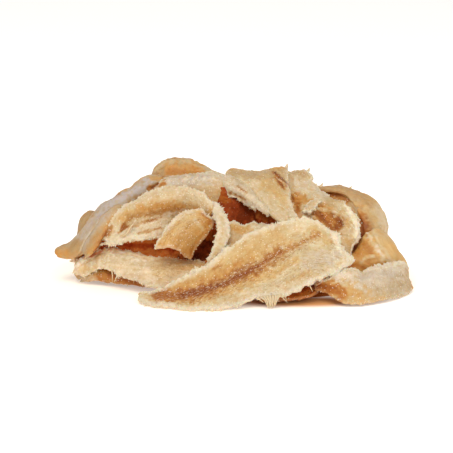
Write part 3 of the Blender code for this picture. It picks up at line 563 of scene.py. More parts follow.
        ("amber_deep", 0.9, 0.7, -0.3, [(15.8, 42.2), (17.2, 40.4), (18.4, 39)]),
        ("brown_deep", 0.8, 0.3, -0.4, [(16.2, 41.9), (18, 39.4)]),
        ("white_rim", 0.9, 0.4, 0.4, [(16.6, 42), (18.2, 40.6)]),
        ("amber", 0.7, 0.5, 0.0, [(14, 45), (18.8, 45.6)]),
    ],
    "torn_strip": [
        ("tan", 0.75, 1.7, 0.0, [(21.4, 44), (24.6, 43.4)]),
        ("amber_deep", 0.9, 0.5, 0.0, [(26.3, 44.9), (27.2, 42.6)]),
        ("ash", 0.6, 1.8, 0.15, [(22, 40.6), (27, 39), (31, 36.6)]),
        # Partly painted shade: amber, honey and brown in the sunk windows torn in the strip, darkest at their
        # lower left.
        ("amber", 1.0, 1.9, -0.9, [(21.8, 35.6), (24.6, 35)]),
        ("amber_deep", 0.95, 0.9, -1.0, [(22.4, 34), (22.6, 32.2)]),
        ("brown", 0.7, 0.5, -0.9, [(20.8, 36.6), (21.2, 34.6)]),
        ("honey", 0.9, 1.2, -0.5, [(30, 33.6), (33.4, 32.8)]),
        ("amber_deep", 1.0, 2.3, -1.1, [(30, 30.6), (33, 29), (35.6, 27.6)]),
        ("brown", 0.7, 1.0, -1.1, [(28, 31), (31, 28.6), (33.2, 26.4), (35.4, 26.2)]),
        ("brown", 0.9, 0.6, -1.1, [(33.6, 30.4), (36, 28)]),
        ("brown_deep", 0.9, 0.35, -1.1, [(29.6, 31.4), (31.4, 28.8)]),
        ("honey", 0.8, 0.4, -0.3, [(32.4, 31), (34, 27)]),
        ("brown_deep", 0.7, 0.6, -1.1, [(35.6, 29.8), (36.8, 27.4)]),
        ("white_rim", 0.9, 0.4, 0.5, [(29.8, 32.2), (32.4, 31.8), (35.4, 31.4)]),
        ("salt_white", 0.85, 1.0, 0.5, [(38, 34.2), (39.4, 31.6), (40.8, 29)]),
        ("salt_white", 0.85, 1.0, 0.5, [(41, 28.6), (41.4, 26), (41.2, 23.6)]),
        ("honey", 0.7, 1.4, 0.0, [(38.4, 22.6), (39.4, 20)]),
        ("amber", 0.7, 0.5, -0.4, [(38.4, 29), (39, 27)]),
    ],
    "window_flake": [
        # Painted shade at the flake's lower end, where the front fillet shades it.
        ("amber_deep", 0.85, 1.1, 0.0, [(22.4, 31.4), (24.6, 31), (27, 30.2)]),
    ],
    "right_loop": [
        ("honey", 0.7, 2.4, 0.0, [(41, 34), (43.6, 31), (45, 26)]),
        ("tan", 1.0, 2.8, 0.0, [(31, 39), (37, 39), (42, 37.4), (46, 34.6)]),
        ("amber_deep", 0.14, 3.0, 0.0, [(31, 39), (37, 39), (42, 37.4), (45, 35.6)]),
        ("pink_cream", 0.5, 2.2, 0.0, [(48, 33), (49.8, 29), (50.4, 25)]),
        # Painted shade low in the loop's cup: amber, deep amber and brown.
        ("amber", 0.7, 2.0, 0.0, [(42, 31), (43.8, 28.4), (44.6, 25)]),
        ("amber_deep", 0.8, 1.7, 0.0, [(42.6, 29.6), (43.6, 27), (43.8, 24.4)]),
        ("brown", 0.9, 1.5, 0.0, [(42.6, 28.8), (43.2, 26.6), (43.4, 24.4)]),
    ],
    "right_curl": [
        ("straw", 0.5, 2.4, 0.0, [(46.6, 25.6), (49, 24.8), (51.4, 23.4)]),
        ("straw", 0.3, 2.0, 0.0, [(49.6, 21.6), (53, 17.6)]),
        ("white_rim", 1.0, 0.8, 0.5, [(44.6, 24.8), (46.2, 21.8), (48, 19.4), (50, 17.2)]),
        ("cream", 0.9, 0.7, 0.3, [(46.6, 25), (49, 20.6), (52, 16.8)]),
        # Partly painted shade: amber and deep amber on the sunk inner face of the curl.
        ("amber", 0.9, 3.0, -0.4, [(42, 20.4), (43.4, 17.6), (46, 17)]),
        ("amber_deep", 0.5, 1.2, 0.0, [(44.6, 20.4), (46, 18)]),
        ("amber_deep", 0.7, 0.9, -0.2, [(38.6, 13.8), (41, 14.6), (43.6, 13.8)]),
        ("cream", 0.9, 0.6, 0.4, [(42.6, 15.4), (44.4, 17), (46.4, 17.4)]),
        ("cream", 0.9, 0.7, 0.2, [(49.6, 16.4), (53, 15.8)]),
    ],
    "right_slab": [
        ("lilac", 0.25, 2.4, 0.0, [(44, 11), (53, 12)]),
        # Painted shade on the slab's lower left under the front fillet and along its lower rim: honey, deep
        # amber and a brown edge.
        ("honey", 0.9, 3.2, 0.0, [(31, 7.6), (36, 6.6), (42, 4.6)]),
        ("amber_deep", 1.0, 2.5, 0.0, [(29.6, 7.4), (33.4, 6.8), (37, 5.4)]),
        ("brown", 0.6, 0.9, 0.0, [(28.6, 7.8), (32, 7.8), (35, 7.2)]),
        ("honey", 0.7, 1.3, 0.0, [(38, 3), (44, 3), (50, 4)]),
        ("tan", 0.7, 1.2, 0.0, [(57.4, 11.6), (59, 8)]),
        ("amber", 0.6, 0.5, 0.0, [(59.3, 9), (59.4, 6.6)]),
        ("white_rim", 0.8, 1.2, 0.2, [(36, 11.4), (41.6, 12), (45, 13.4), (50, 14)]),
    ],
    "deep_middle": [
        ("amber", 0.7, 1.6, 0.0, [(1.6, 27), (4.6, 25.6), (6.6, 26.4)]),
        ("white_rim", 0.85, 1.3, 0.3, [(9, 26), (12, 26.8), (17, 27)]),
    ],
}

# %% [markdown]
# ## The strips behind
#
# Nothing shows what lies on the far side of a heap, so it gets strips like those in front: twelve, each
# from where it lies (its middle, the heading of its length, its pitch and its roll), then its length,
# width, sag at both ends, twist in degrees and bulge. Their looks follow in turn from a short list.

# %% The strips on the back and the sides
LAID_STRIPS = {
    "back_fillet": ((8, 24, 12), 10, -12, -58, 64, 21, 3, 26, -2.5),
    "back_low_left": ((-22, 21, 7), 26, 4, -46, 48, 18, 2, -16, 2.5),
    "back_low_right": ((33, 19, 7), -34, 4, -44, 42, 18, 2, 18, 3.0),
    "back_middle": ((0, 16, 21), 22, -2, -34, 50, 19, 3, -20, 2.5),
    "back_top_left": ((-17, 15, 24.6), -6, 8, -22, 42, 17, 4, 16, 2.5),
    "back_top_right": ((20.4, 15.6, 23.4), -24, -8, -24, 46, 17, 4, -12, 2.5),
    "back_drop": ((-9, 22, 13), 104, -40, 14, 34, 17, 1, 26, -2.0),
    "back_drop_right": ((32, 18, 15), 40, -34, -14, 36, 17, 2, -20, 2.5),
    "left_drop": ((-36, 14.6, 9.6), 132, -22, -18, 34, 17, 2, 14, 2.0),
    "right_low": ((45, 6, 6), 66, -2, 46, 40, 16, 2, 14, 2.5),
    "left_low": ((-35, 9, 5), 70, 0, -46, 34, 15, 1, -14, 2.0),
    "floor_back": ((-2, 28, 2.6), 14, 0, -8, 46, 15, 0, 18, 1.5),
}
LAID_LOOKS = [
    ("pink_cream", "tan", 0.8, 1.6),
    ("tan", "amber", 0.35, 1.2),
    ("straw", "tan", 0.7, 1.5),
    ("amber", "tan", 0.6, 1.4),
    ("cream", "tan", 0.9, 1.7),
]
print(len(FRONT_STRIPS), "strips in front and", len(LAID_STRIPS), "behind")

# %% [markdown]
# ## Smooth curves through few points
#
# A rail has a handful of points, and a strip needs hundreds. A cubic Hermite curve passes through each
# given point with the slope of its neighbours, so a rail never overshoots far, as a plain spline may. The
# same function runs along the rails and then across them.

# %% Run smoothly through a few points
def unit(vectors):
    return vectors / np.maximum(np.linalg.norm(vectors, axis=-1, keepdims=True), 1e-9)


def ease(share):
    """A soft step from 0 to 1."""
    share = np.clip(share, 0.0, 1.0)
    return share * share * (3.0 - 2.0 * share)


def rounded(share):
    """The height of a quarter circle from 0 to 1, at this share of its width."""
    return np.sqrt(1.0 - (1.0 - np.clip(share, 0.0, 1.0)) ** 2)


def run_length(points):
    return float(np.linalg.norm(np.diff(points, axis=0), axis=1).sum())


def smooth_run(points, shares):
    """Points on the smooth curve through the given ones, at shares of the way along from 0 to 1."""
    points = np.asarray(points, dtype=float)
    knots = np.concatenate(([0.0], np.cumsum(np.linalg.norm(np.diff(points, axis=0), axis=1))))
    knots /= knots[-1]
    slopes = np.gradient(points, knots, axis=0)
    span = np.clip(np.searchsorted(knots, shares, side="right") - 1, 0, len(knots) - 2)
    gap = (knots[span + 1] - knots[span])[:, None]
    way = (np.asarray(shares)[:, None] - knots[span][:, None]) / gap
    chord = (1.0 - ease(way)) * points[span] + ease(way) * points[span + 1]
    leave = way * (1.0 - way) ** 2 * gap * slopes[span]
    arrive = way * way * (way - 1.0) * gap * slopes[span + 1]
    return chord + leave + arrive


fillet_rim = np.array([seen(*point) for point in FRONT_STRIPS["front_fillet"][0]])
print(f"the front fillet's upper rim is {run_length(fillet_rim):.1f} mm long")

# %% Lay the rims of a strip on the heap's side
def laid_rims(middle, heading, pitch, roll, length, width, sag, twist):
    """The two rims of a strip that lies on the heap's side, from where and how it lies."""
    heading, pitch = math.radians(heading), math.radians(pitch)
    ahead = np.array([math.cos(heading), math.sin(heading), 0.0])
    level = np.array([-math.sin(heading), math.cos(heading), 0.0])
    along = ahead * math.cos(pitch) + np.array([0.0, 0.0, math.sin(pitch)])
    upward = np.cross(along, level)
    rims = [[], []]
    for share in np.linspace(-0.5, 0.5, 5):
        centre = np.array(middle) + along * length * share + np.array([0.0, 0.0, -sag * 4.0 * share * share])
        turn = math.radians(roll + twist * share)
        across = level * math.cos(turn) + upward * math.sin(turn)
        rims[0].append(centre - across * width / 2.0)
        rims[1].append(centre + across * width / 2.0)
    return rims


def with_bulge(rails, bulge):
    """Puts a third rail between two rims, bulged away from the heap's heart."""
    shares = np.linspace(0.0, 1.0, 7)
    first, second = (smooth_run(rail, shares) for rail in rails)
    middle = (first + second) / 2.0
    outward = unit(np.cross(np.gradient(middle, axis=0), second - first))
    outward *= np.sign(np.sum(outward * (middle - HEAP_HEART), axis=1, keepdims=True))
    return [first, middle + outward * bulge, second]


back_rim = np.array(laid_rims(*LAID_STRIPS["back_fillet"][:-1])[0])
print(f"the back fillet's first rim is {run_length(back_rim):.1f} mm long")

# %% [markdown]
# ## Two kinds of unevenness
#
# Real torn fish is uneven at every size. `wander` is a wavy line with a given distance between its turns,
# for the outline of a rim. `lumps` is the same in space: smooth noise, computed from the place alone, so
# that both faces of a strip agree on it. Both come from fixed seeds, and every run gives the same heap.

# %% Lines that wander, and lumps in space
def wander(distances, size, draw):
    """A wavy line between -1 and 1 with this many millimetres between its turns."""
    turns = draw.uniform(-1.0, 1.0, int(distances.max() / size) + 3)
    spot = distances / size
    before = np.floor(spot).astype(int)
    share = ease(spot - before)
    return turns[before] * (1.0 - share) + turns[before + 1] * share


LATTICE_PRIMES = np.array([73856093, 19349663, 83492791])
SEED_SHIFT = 17.31


def lumps(points, size, seed):
    """Smooth noise between -1 and 1 at these points, with lumps of this many millimetres."""
    cells = points / size + seed * SEED_SHIFT
    corner_low = np.floor(cells).astype(np.int64)
    share = ease(cells - corner_low)
    total = np.zeros(cells.shape[:-1])
    for corner in np.ndindex(2, 2, 2):
        key = (corner_low + corner) @ LATTICE_PRIMES
        key = ((key ^ (key >> 13)) * 1274126177) & 0x7FFFFFFF
        value = ((key ^ (key >> 15)) & 0xFFFF) / 0x8000 - 1.0
        total += value * np.prod(np.where(corner, share, 1.0 - share), axis=-1)
    return total


probe = lumps(np.random.default_rng(1).uniform(0, 50, (4000, 3)), 2.0, 3)
print(f"lumps run from {probe.min():.2f} to {probe.max():.2f} around {probe.mean():.2f}")

# %% [markdown]
# ## One strip as a sheet of points
#
# A strip is a grid of points on the surface between its rails. The grid is fine at its rims, where it is
# rounded and torn, and coarser in the middle, which saves most of the triangles. The tears pull the rim
# inwards along the surface, and the pull dies out within a few millimetres.

# %% Step along a rim, and tear it
RIM_STEPS = np.array([0.0, 0.06, 0.18, 0.36, 0.6, 0.9, 1.25, 1.7, 2.2])
TEARS = ((7.0, 0.5), (2.4, 0.5), (0.9, 0.5))
DEEPEST_TEAR = 1.5
TEAR_REACH = 1.5


def shares_over(length, step):
    """Shares from 0 to 1, close together at both ends and then this many millimetres apart."""
    close = RIM_STEPS * min(1.0, length / (4.0 * RIM_STEPS[-1]))
    count = max(3, round((length - 2.0 * close[-1]) / step))
    middle = np.linspace(close[-1], length - close[-1], count + 1)[1:-1]
    return np.concatenate((close, middle, length - close[::-1])) / length


def torn(distances, raggedness, draw):
    """How far a rim is torn back at these distances along it, in millimetres."""
    waves = sum(height * wander(distances, size, draw) for size, height in TEARS)
    return np.clip((0.35 + 0.65 * raggedness) * (0.4 + waves), 0.0, DEEPEST_TEAR)


def pulled(grid, distances, start, end):
    """Each row of points, slid along itself: its first point by start, and its last back by end."""
    length = distances[:, -1:]
    slide = start[:, None] * np.exp(-distances / TEAR_REACH)
    slide -= end[:, None] * np.exp((distances - length) / TEAR_REACH)
    moved = np.empty_like(grid)
    for row in range(len(grid)):
        for axis in range(3):
            moved[row, :, axis] = np.interp(distances[row] + slide[row], distances[row], grid[row, :, axis])
    return moved


tear = torn(np.linspace(0.0, 50.0, 200), 1.0, np.random.default_rng(2))
print(f"a very ragged rim is torn back by {tear.min():.2f} to {tear.max():.2f} mm")

# %% Lay out the grid of a strip
CORNER_LENGTH = 2.4
CORNER_CUT = 1.2
COARSER_ACROSS = 1.25
TORN_BLEND = 0.4


def strip_sheet(rails, step, torn_sides, draw):
    """The middle surface of a strip, how far each point is along, across and from its rims, how torn the
    rim near it is, and its unit normals."""
    length = np.mean([run_length(rail) for rail in rails])
    along = shares_over(length, step)
    guides = np.stack([smooth_run(rail, along) for rail in rails], axis=1)
    widths = np.array([run_length(guide) for guide in guides])
    across = shares_over(widths.mean(), step * COARSER_ACROSS)
    from_end = np.minimum(along, 1.0 - along) * length
    narrowest = 1.0 - min(0.5, 2.0 * CORNER_CUT / widths.mean())
    corner = narrowest + (1.0 - narrowest) * rounded(from_end / CORNER_LENGTH)
    sheet = np.array([smooth_run(guide, 0.5 + (across - 0.5) * narrow)
                      for guide, narrow in zip(guides, corner)])
    normals = unit(np.cross(np.gradient(sheet, axis=0), np.gradient(sheet, axis=1)))
    from_left = across[None, :] * widths[:, None]
    from_right = (1.0 - across)[None, :] * widths[:, None]
    from_start = np.broadcast_to((along * length)[:, None], from_left.shape)
    rim = np.minimum(np.minimum(from_left, from_right), from_end[:, None])
    from_sides = (from_left, from_right, from_start, length - from_start)
    nearness = [1.0 / (TORN_BLEND + from_side) ** 3 for from_side in from_sides]
    torn_near = sum(near * side for near, side in zip(nearness, torn_sides)) / sum(nearness)
    sheet = pulled(sheet, from_left, *(torn(along * length, side, draw) for side in torn_sides[:2]))
    ends = (torn(across * widths.mean(), side, draw) for side in torn_sides[2:])
    sheet = pulled(sheet.swapaxes(0, 1), from_start.T.copy(), *ends).swapaxes(0, 1)
    return sheet, from_start, from_left, rim, torn_near, normals


# %% [markdown]
# ## Painting the marks
#
# `mark_weight` is the whole brush: how close is a point of the board to the mark's route, with an edge
# that lumps of noise make uneven. Where the weight is high the tone shifts and the surface rises or sinks.

# %% A brush for marks
MARK_EDGE_SIZE = 1.4
MARK_EDGE_SHARE = 0.85
MARK_NARROWING_LEAST = 0.5
NARROW_MARK = 0.5
BROKEN_SHARE = 0.75
BROKEN_SIZE = 0.8


def mark_weight(points, route, width, seed):
    """How strongly a mark along this route covers the points, from 0 to 1."""
    spots = on_the_board(points)
    route = np.array(route, dtype=float)
    nearest = np.full(spots.shape[:-1], np.inf)
    for start, end in zip(route, route[1:]):
        line = end - start
        share = np.clip((spots - start) @ line / max(line @ line, 1e-9), 0.0, 1.0)
        nearest = np.minimum(nearest, np.linalg.norm(spots - start - share[..., None] * line, axis=-1))
    uneven = lumps(points, MARK_EDGE_SIZE, seed) + 0.6 * lumps(points, MARK_EDGE_SIZE / 2.4, seed + 1)
    broken = BROKEN_SHARE if width < NARROW_MARK else 0.4 * BROKEN_SHARE
    gate = 1.0 - broken * ease(0.45 + 1.3 * lumps(points, BROKEN_SIZE, seed + 2))
    narrowing = np.maximum(1.0 + MARK_EDGE_SHARE * uneven, MARK_NARROWING_LEAST)
    return gate * ease(1.25 - nearest / width * narrowing)


print(sum(len(marks) for marks in MARKS.values()), "marks on", len(MARKS), "strips")

# %% Paint a strip with its marks
FLECKS = "flecks"
BLOTCH_STRENGTH = 0.42
BLOTCH_SIZE = 5.5
SMALL_BLOTCH_SIZE = 2.1
BLOTCH_TILT = np.array([0.75, 1.0, 1.5])
STREAK_STRENGTH = 0.13
STREAK_STRETCH = 0.13
STREAK_SIZE = 1.3
SMALL_STREAK_SIZE = 0.6
HEART_SHARE = 0.75
HEART_SIZE = 6.5
LINE_WANDER_SIZE = 5.0
LINE_HALF_WIDTH = 0.9


def with_tone(tint, tone, weight):
    """The tint with a tone multiplied in, stains and painted shade alike, so it stays as rich as the tone."""
    return tint * (TONES[tone] / tint) ** weight[..., None]


def painted(points, along, across, tone, marks, seed):
    """The tone at each point of the shown side, in linear light."""
    blotches = 0.5 * lumps(points, BLOTCH_SIZE, seed) + 0.25 * lumps(points, SMALL_BLOTCH_SIZE, seed + 2)
    runs = np.stack((along * STREAK_STRETCH, across, np.zeros_like(along)), axis=-1)
    streaks = lumps(runs, STREAK_SIZE, seed + 4) + 0.6 * lumps(runs, SMALL_STREAK_SIZE, seed + 6)
    shift = BLOTCH_STRENGTH * blotches + STREAK_STRENGTH * streaks
    tint = TONES[tone] * (1.0 + shift[..., None] * BLOTCH_TILT)
    for number, (mark_tone, strength, width, _, route) in enumerate(marks):
        if mark_tone == FLECKS:
            continue
        tint = with_tone(tint, mark_tone, strength * mark_weight(points, route, width, seed + 5 * number))
    return tint


def fleckedness(points, marks, seed):
    """How strongly each point of the shown side is flecked, from 0 to 1."""
    total = np.zeros(points.shape[:-1])
    for number, (mark_tone, strength, width, _, route) in enumerate(marks):
        if mark_tone == FLECKS:
            total += strength * mark_weight(points, route, width, seed + 5 * number)
    return np.clip(total, 0.0, 1.0)


def with_heart(tint, points, across, rim, seed):
    """A laid strip's tint with an amber heart and, down its middle, a broken brown line."""
    heart = HEART_SHARE * ease((rim - 1.5) / 4.0) * ease(0.6 + 0.8 * lumps(points, HEART_SIZE, seed + 8))
    tint = with_tone(tint, "amber", heart)
    off_line = np.abs(across - across.max() / 2.0 + 0.8 * lumps(points, LINE_WANDER_SIZE, seed + 9))
    uneven = 1.0 + 0.8 * lumps(points, MARK_EDGE_SIZE, seed + 10)
    return with_tone(tint, "brown", 0.7 * ease(1.2 - off_line / LINE_HALF_WIDTH * uneven) * ease(rim / 5.0))

# %% [markdown]
# ## From a sheet to a closed strip
#
# A strip is about 2 mm thick in the middle and half that where it is torn, and its rim is round, not a
# knife edge. The front and the back face share their rim points, which closes the mesh without a seam.
# Each point keeps what the materials and the scattered crumbs need later: its run along and across the
# fibres, its distance from the rim, its tone, how torn the rim is, and which way is outwards there.

# %% Thickness, and helpers that write a mesh
THICKNESS = 2.1
RIM_THICKNESS = 1.15
RIM_ROUND = 0.6
THICKENING_REACH = 4.5
THICKNESS_LUMP_SIZE = 3.2
THICKNESS_UNEVENNESS = 0.22


def half_thickness(rim, points, seed):
    body = RIM_THICKNESS + (THICKNESS - RIM_THICKNESS) * ease(rim / THICKENING_REACH)
    uneven = 1.0 + THICKNESS_UNEVENNESS * lumps(points, THICKNESS_LUMP_SIZE, seed)
    return 0.5 * body * rounded(rim / RIM_ROUND) * uneven


def store(mesh, name, kind, values):
    """Writes one value for each point of a mesh."""
    made = mesh.attributes.new(name, kind, "POINT")
    field = {"FLOAT": "value", "FLOAT_VECTOR": "vector", "FLOAT_COLOR": "color"}[kind]
    made.data.foreach_set(field, np.ascontiguousarray(values, dtype=np.float32).ravel())


def store_tint(mesh, tint):
    store(mesh, "tint", "FLOAT_COLOR", np.concatenate((tint, np.ones((len(tint), 1))), axis=1))


def smooth_mesh(name, points, faces):
    """A smooth mesh from points in millimetres."""
    mesh = bpy.data.meshes.new(name)
    mesh.from_pydata((points - HEAP_MIDDLE) * MM, [], faces)
    mesh.shade_smooth()
    return mesh


def grid_faces(index):
    """The four corners of each cell of a grid of point numbers."""
    corners = (index[:-1, :-1], index[1:, :-1], index[1:, 1:], index[:-1, 1:])
    return np.stack(corners, axis=-1).reshape(-1, 4)


# %% Build the mesh of a strip
COCKLE_SIZE = 8.0
COCKLE_HEIGHT = 0.45
FACES_APART = 9


def make_strip(name, rails, look, marks, step, facing, draw, seed):
    """One strip as a closed mesh object. facing gives the way it shows at each point. A strip without a list
    of marks gets an amber heart instead."""
    tone, back_tone, torn_sides, pale_reach = look
    parts = strip_sheet(rails, step, np.broadcast_to(torn_sides, 4), draw)
    turned = np.mean(np.sum(parts[-1] * facing(parts[0]), axis=-1)) < 0.0
    sheet, along, across, rim, torn_near, normals = (part[:, ::-1] if turned else part for part in parts)
    if turned:
        normals = -normals
    lift = COCKLE_HEIGHT * lumps(sheet, COCKLE_SIZE, seed + 1)
    for number, (_, strength, width, height, route) in enumerate(marks or []):
        if height:
            lift += strength * height * mark_weight(sheet, route, width, seed + 5 * number)
    sheet = sheet + normals * lift[..., None]
    half = half_thickness(rim, sheet, seed + 2)[..., None]
    front, back = sheet + normals * half, sheet - normals * half

    rows, columns = rim.shape
    numbers = np.arange(rows * columns).reshape(rows, columns)
    back_numbers = numbers.copy()
    back_numbers[1:-1, 1:-1] = rows * columns + np.arange((rows - 2) * (columns - 2)).reshape(rows - 2, -1)
    faces = np.concatenate((grid_faces(numbers), grid_faces(back_numbers)[:, ::-1]))

    def both(on_front, on_back):
        return np.concatenate((on_front.reshape(rows * columns, -1),
                               on_back[1:-1, 1:-1].reshape((rows - 2) * (columns - 2), -1)))

    mesh = smooth_mesh(name, both(front, back), faces.tolist())
    inside = np.gradient(rim, axis=0)[..., None] * unit(np.gradient(sheet, axis=0))
    inside = inside + np.gradient(rim, axis=1)[..., None] * unit(np.gradient(sheet, axis=1))
    shown = painted(front, along, across, tone, marks or [], seed)
    if marks is None:
        shown = with_heart(shown, front, across, rim, seed)
    tint = both(shown, painted(back, along, across, back_tone, [], seed + 3))
    store_tint(mesh, tint)
    side = both(np.ones_like(rim), -np.ones_like(rim))
    run = np.concatenate((both(along, along), both(across, across), side * FACES_APART), axis=1)
    store(mesh, "run", "FLOAT_VECTOR", run * MM)
    store(mesh, "shown", "FLOAT", side > 0)
    store(mesh, "rim", "FLOAT", both(rim, rim) / pale_reach)
    store(mesh, "torn", "FLOAT", both(torn_near, torn_near))
    store(mesh, "flecked", "FLOAT", both(fleckedness(front, marks or [], seed), np.zeros_like(rim)))
    store(mesh, "outward", "FLOAT_VECTOR", both(-unit(inside), -unit(inside)))
    return linked(name, mesh)

# %% [markdown]
# ## Writing node trees
#
# Materials and Geometry Nodes are both trees of nodes. Small helpers keep them readable: `add` makes a
# node and fills its inputs, with a value or with another node's output, and `maths` and `vector_maths` do
# one calculation. `mapped` is a soft step, and `mixed` mixes two colours.
# `sockets` gives a group its named inputs, with their first values, and its outputs.

# %% Helpers for node trees
def add(tree, kind, inputs=None, **settings):
    node = tree.nodes.new(kind)
    for name, value in settings.items():
        setattr(node, name, value)
    for name, value in (inputs or {}).items():
        if isinstance(value, bpy.types.NodeSocket):
            tree.links.new(value, node.inputs[name])
        else:
            node.inputs[name].default_value = value
    return node


def maths(tree, operation, *values, clamp=False):
    node = add(tree, "ShaderNodeMath", dict(enumerate(values)), operation=operation, use_clamp=clamp)
    return node.outputs[0]


def vector_maths(tree, operation, first, second):
    slot = "Scale" if operation == "SCALE" else 1
    return add(tree, "ShaderNodeVectorMath", {0: first, slot: second}, operation=operation).outputs[0]


def mapped(tree, value, low, high):
    """A soft step: value from low to high becomes 0 to 1."""
    limits = {0: value, 1: low, 2: high}
    return add(tree, "ShaderNodeMapRange", limits, interpolation_type="SMOOTHSTEP").outputs[0]


def mixed(tree, share, first, second, blend="MIX"):
    """A mix of two colours."""
    node = add(tree, "ShaderNodeMix", {0: share, 6: first, 7: second}, data_type="RGBA", blend_type=blend)
    return node.outputs[2]


def sockets(tree, inputs, outputs):
    """Gives a group named sockets; an input's value also says its kind."""
    kinds = {float: "NodeSocketFloat", int: "NodeSocketInt"}
    for name, value in inputs.items():
        kind = value if isinstance(value, str) else kinds[type(value)]
        socket = tree.interface.new_socket(name, in_out="INPUT", socket_type=kind)
        if not isinstance(value, str):
            socket.default_value = value
    for name, kind in outputs.items():
        tree.interface.new_socket(name, in_out="OUTPUT", socket_type=kind)
    return tree.nodes.new("NodeGroupInput").outputs, tree.nodes.new("NodeGroupOutput").inputs


def attribute(tree, name, output="Fac"):
    return add(tree, "ShaderNodeAttribute", attribute_name=name).outputs[output]


# %% [markdown]
# ## Effects that several finishes share
#
# Three effects show on every strip, so each is a group that is built once: the grain of dry flesh (close
# packed granules, pits between them and a few that glint), the fibres that run along a strip, and the
# pale, torn rim. The groups only put out masks and heights. What they do to colour and gloss is decided
# in each material.

# %% The grain of dry flesh
PIT_SCALE = 0.38
GLINT_FROM = 0.8


def grain_group():
    tree = bpy.data.node_groups.new("dry_grain", "ShaderNodeTree")
    given, out = sockets(tree, {"Vector": "NodeSocketVector", "Size": 0.0005},
                         {name: "NodeSocketFloat" for name in ("Height", "Pits", "Glints")})
    scale = maths(tree, "DIVIDE", 1.0, given["Size"])
    granules = add(tree, "ShaderNodeTexVoronoi", {"Vector": given["Vector"], "Scale": scale})
    fine = add(tree, "ShaderNodeTexNoise", {"Vector": given["Vector"], "Scale": scale, "Detail": 3.0,
                                            "Roughness": 0.65})
    coarse = add(tree, "ShaderNodeTexNoise", {"Vector": given["Vector"], "Detail": 2.0,
                                              "Scale": maths(tree, "MULTIPLY", scale, PIT_SCALE)})
    round_top = maths(tree, "SUBTRACT", 1.0, granules.outputs["Distance"])
    height = maths(tree, "MULTIPLY_ADD", round_top, 0.55, maths(tree, "MULTIPLY", fine.outputs[0], 0.7))
    tree.links.new(height, out["Height"])
    tree.links.new(mapped(tree, coarse.outputs[0], 0.5, 0.68), out["Pits"])
    chosen = add(tree, "ShaderNodeSeparateColor", {0: granules.outputs["Color"]}).outputs[0]
    chosen = maths(tree, "GREATER_THAN", chosen, GLINT_FROM)
    core = mapped(tree, granules.outputs["Distance"], 0.42, 0.16)
    tree.links.new(maths(tree, "MULTIPLY", chosen, core), out["Glints"])
    return tree


# %% The fibres along a strip
BEND_SCALE = 160.0
BEND_SHIFT = 0.0035
FACE_SCALE = 900.0
FLECKS_ALONG = 900.0
FLECKS_ACROSS = 1900.0


def fibre_group():
    tree = bpy.data.node_groups.new("fish_fibres", "ShaderNodeTree")
    given, out = sockets(tree, {"Run": "NodeSocketVector", "Spacing": 0.0009, "Length": 0.009},
                         {name: "NodeSocketFloat" for name in ("Height", "Streaks", "Dark Lines", "Flecks")})
    parts = add(tree, "ShaderNodeSeparateXYZ", {0: given["Run"]}).outputs
    bend = add(tree, "ShaderNodeTexNoise", {"Vector": given["Run"], "Scale": BEND_SCALE,
                                            "Detail": 1.0}).outputs[0]
    across = maths(tree, "MULTIPLY_ADD", bend, BEND_SHIFT, parts[1])
    stretched = add(tree, "ShaderNodeCombineXYZ", {
        0: maths(tree, "DIVIDE", parts[0], given["Length"]),
        1: maths(tree, "DIVIDE", across, given["Spacing"]),
        2: maths(tree, "MULTIPLY", parts[2], FACE_SCALE)})
    strands = add(tree, "ShaderNodeTexNoise", {"Vector": stretched.outputs[0], "Scale": 1.0, "Detail": 3.0,
                                               "Roughness": 0.6}).outputs[0]
    tree.links.new(strands, out["Height"])
    tree.links.new(mapped(tree, strands, 0.42, 0.66), out["Streaks"])
    tree.links.new(mapped(tree, strands, 0.47, 0.33), out["Dark Lines"])
    short = add(tree, "ShaderNodeCombineXYZ", {
        0: maths(tree, "MULTIPLY", parts[0], FLECKS_ALONG),
        1: maths(tree, "MULTIPLY", parts[1], FLECKS_ACROSS), 2: parts[2]})
    flecks = add(tree, "ShaderNodeTexNoise", {"Vector": short.outputs[0], "Scale": 1.0, "Detail": 2.0,
                                              "Roughness": 0.6}).outputs[0]
    tree.links.new(flecks, out["Flecks"])
    return tree


# %% The pale torn rim
RIM_CRUMB_SCALE = 420.0
RIM_PATCH_SCALE = 110.0
RAISED_GAIN = 0.25


def rim_group():
    tree = bpy.data.node_groups.new("torn_rim", "ShaderNodeTree")
    given, out = sockets(tree, {"Vector": "NodeSocketVector", "Rim": 1.0, "Torn": 1.0, "Raised": 0.0},
                         {"Mask": "NodeSocketFloat"})
    coarse = add(tree, "ShaderNodeTexNoise", {"Vector": given["Vector"], "Scale": RIM_CRUMB_SCALE,
                                              "Detail": 3.0, "Roughness": 0.6}).outputs[0]
    slow = add(tree, "ShaderNodeTexNoise", {"Vector": given["Vector"], "Scale": RIM_PATCH_SCALE}).outputs[0]
    shift = maths(tree, "ADD", maths(tree, "MULTIPLY", coarse, 0.8), maths(tree, "MULTIPLY", slow, 0.9))
    reach = maths(tree, "SUBTRACT", maths(tree, "ADD", given["Rim"], shift), 0.85)
    reach = maths(tree, "MULTIPLY_ADD", given["Raised"], -RAISED_GAIN, reach)
    mask = mapped(tree, reach, 1.1, 0.15)
    tree.links.new(maths(tree, "MULTIPLY", mask, given["Torn"]), out["Mask"])
    return tree


GRAIN, FIBRES, TORN_RIM = grain_group(), fibre_group(), rim_group()
print("shared effects:", ", ".join(group.name for group in (GRAIN, FIBRES, TORN_RIM)))

# %% [markdown]
# ## Torn flesh, skin and the imported inside
#
# All three are one recipe with other numbers. The tone that was painted on the mesh gets streaks along the
# fibres and pits, painted shade in the low parts of the grain and a painted highlight on its tops, white
# specks that are partly salt and partly painted glints, and turns cream at a torn rim. Where the heap
# shelters it, painted shade makes it warmer and then deep red. Light goes a little way into dry fish, which
# is what makes its thin parts glow amber, so the shader scatters below the surface by about a millimetre.

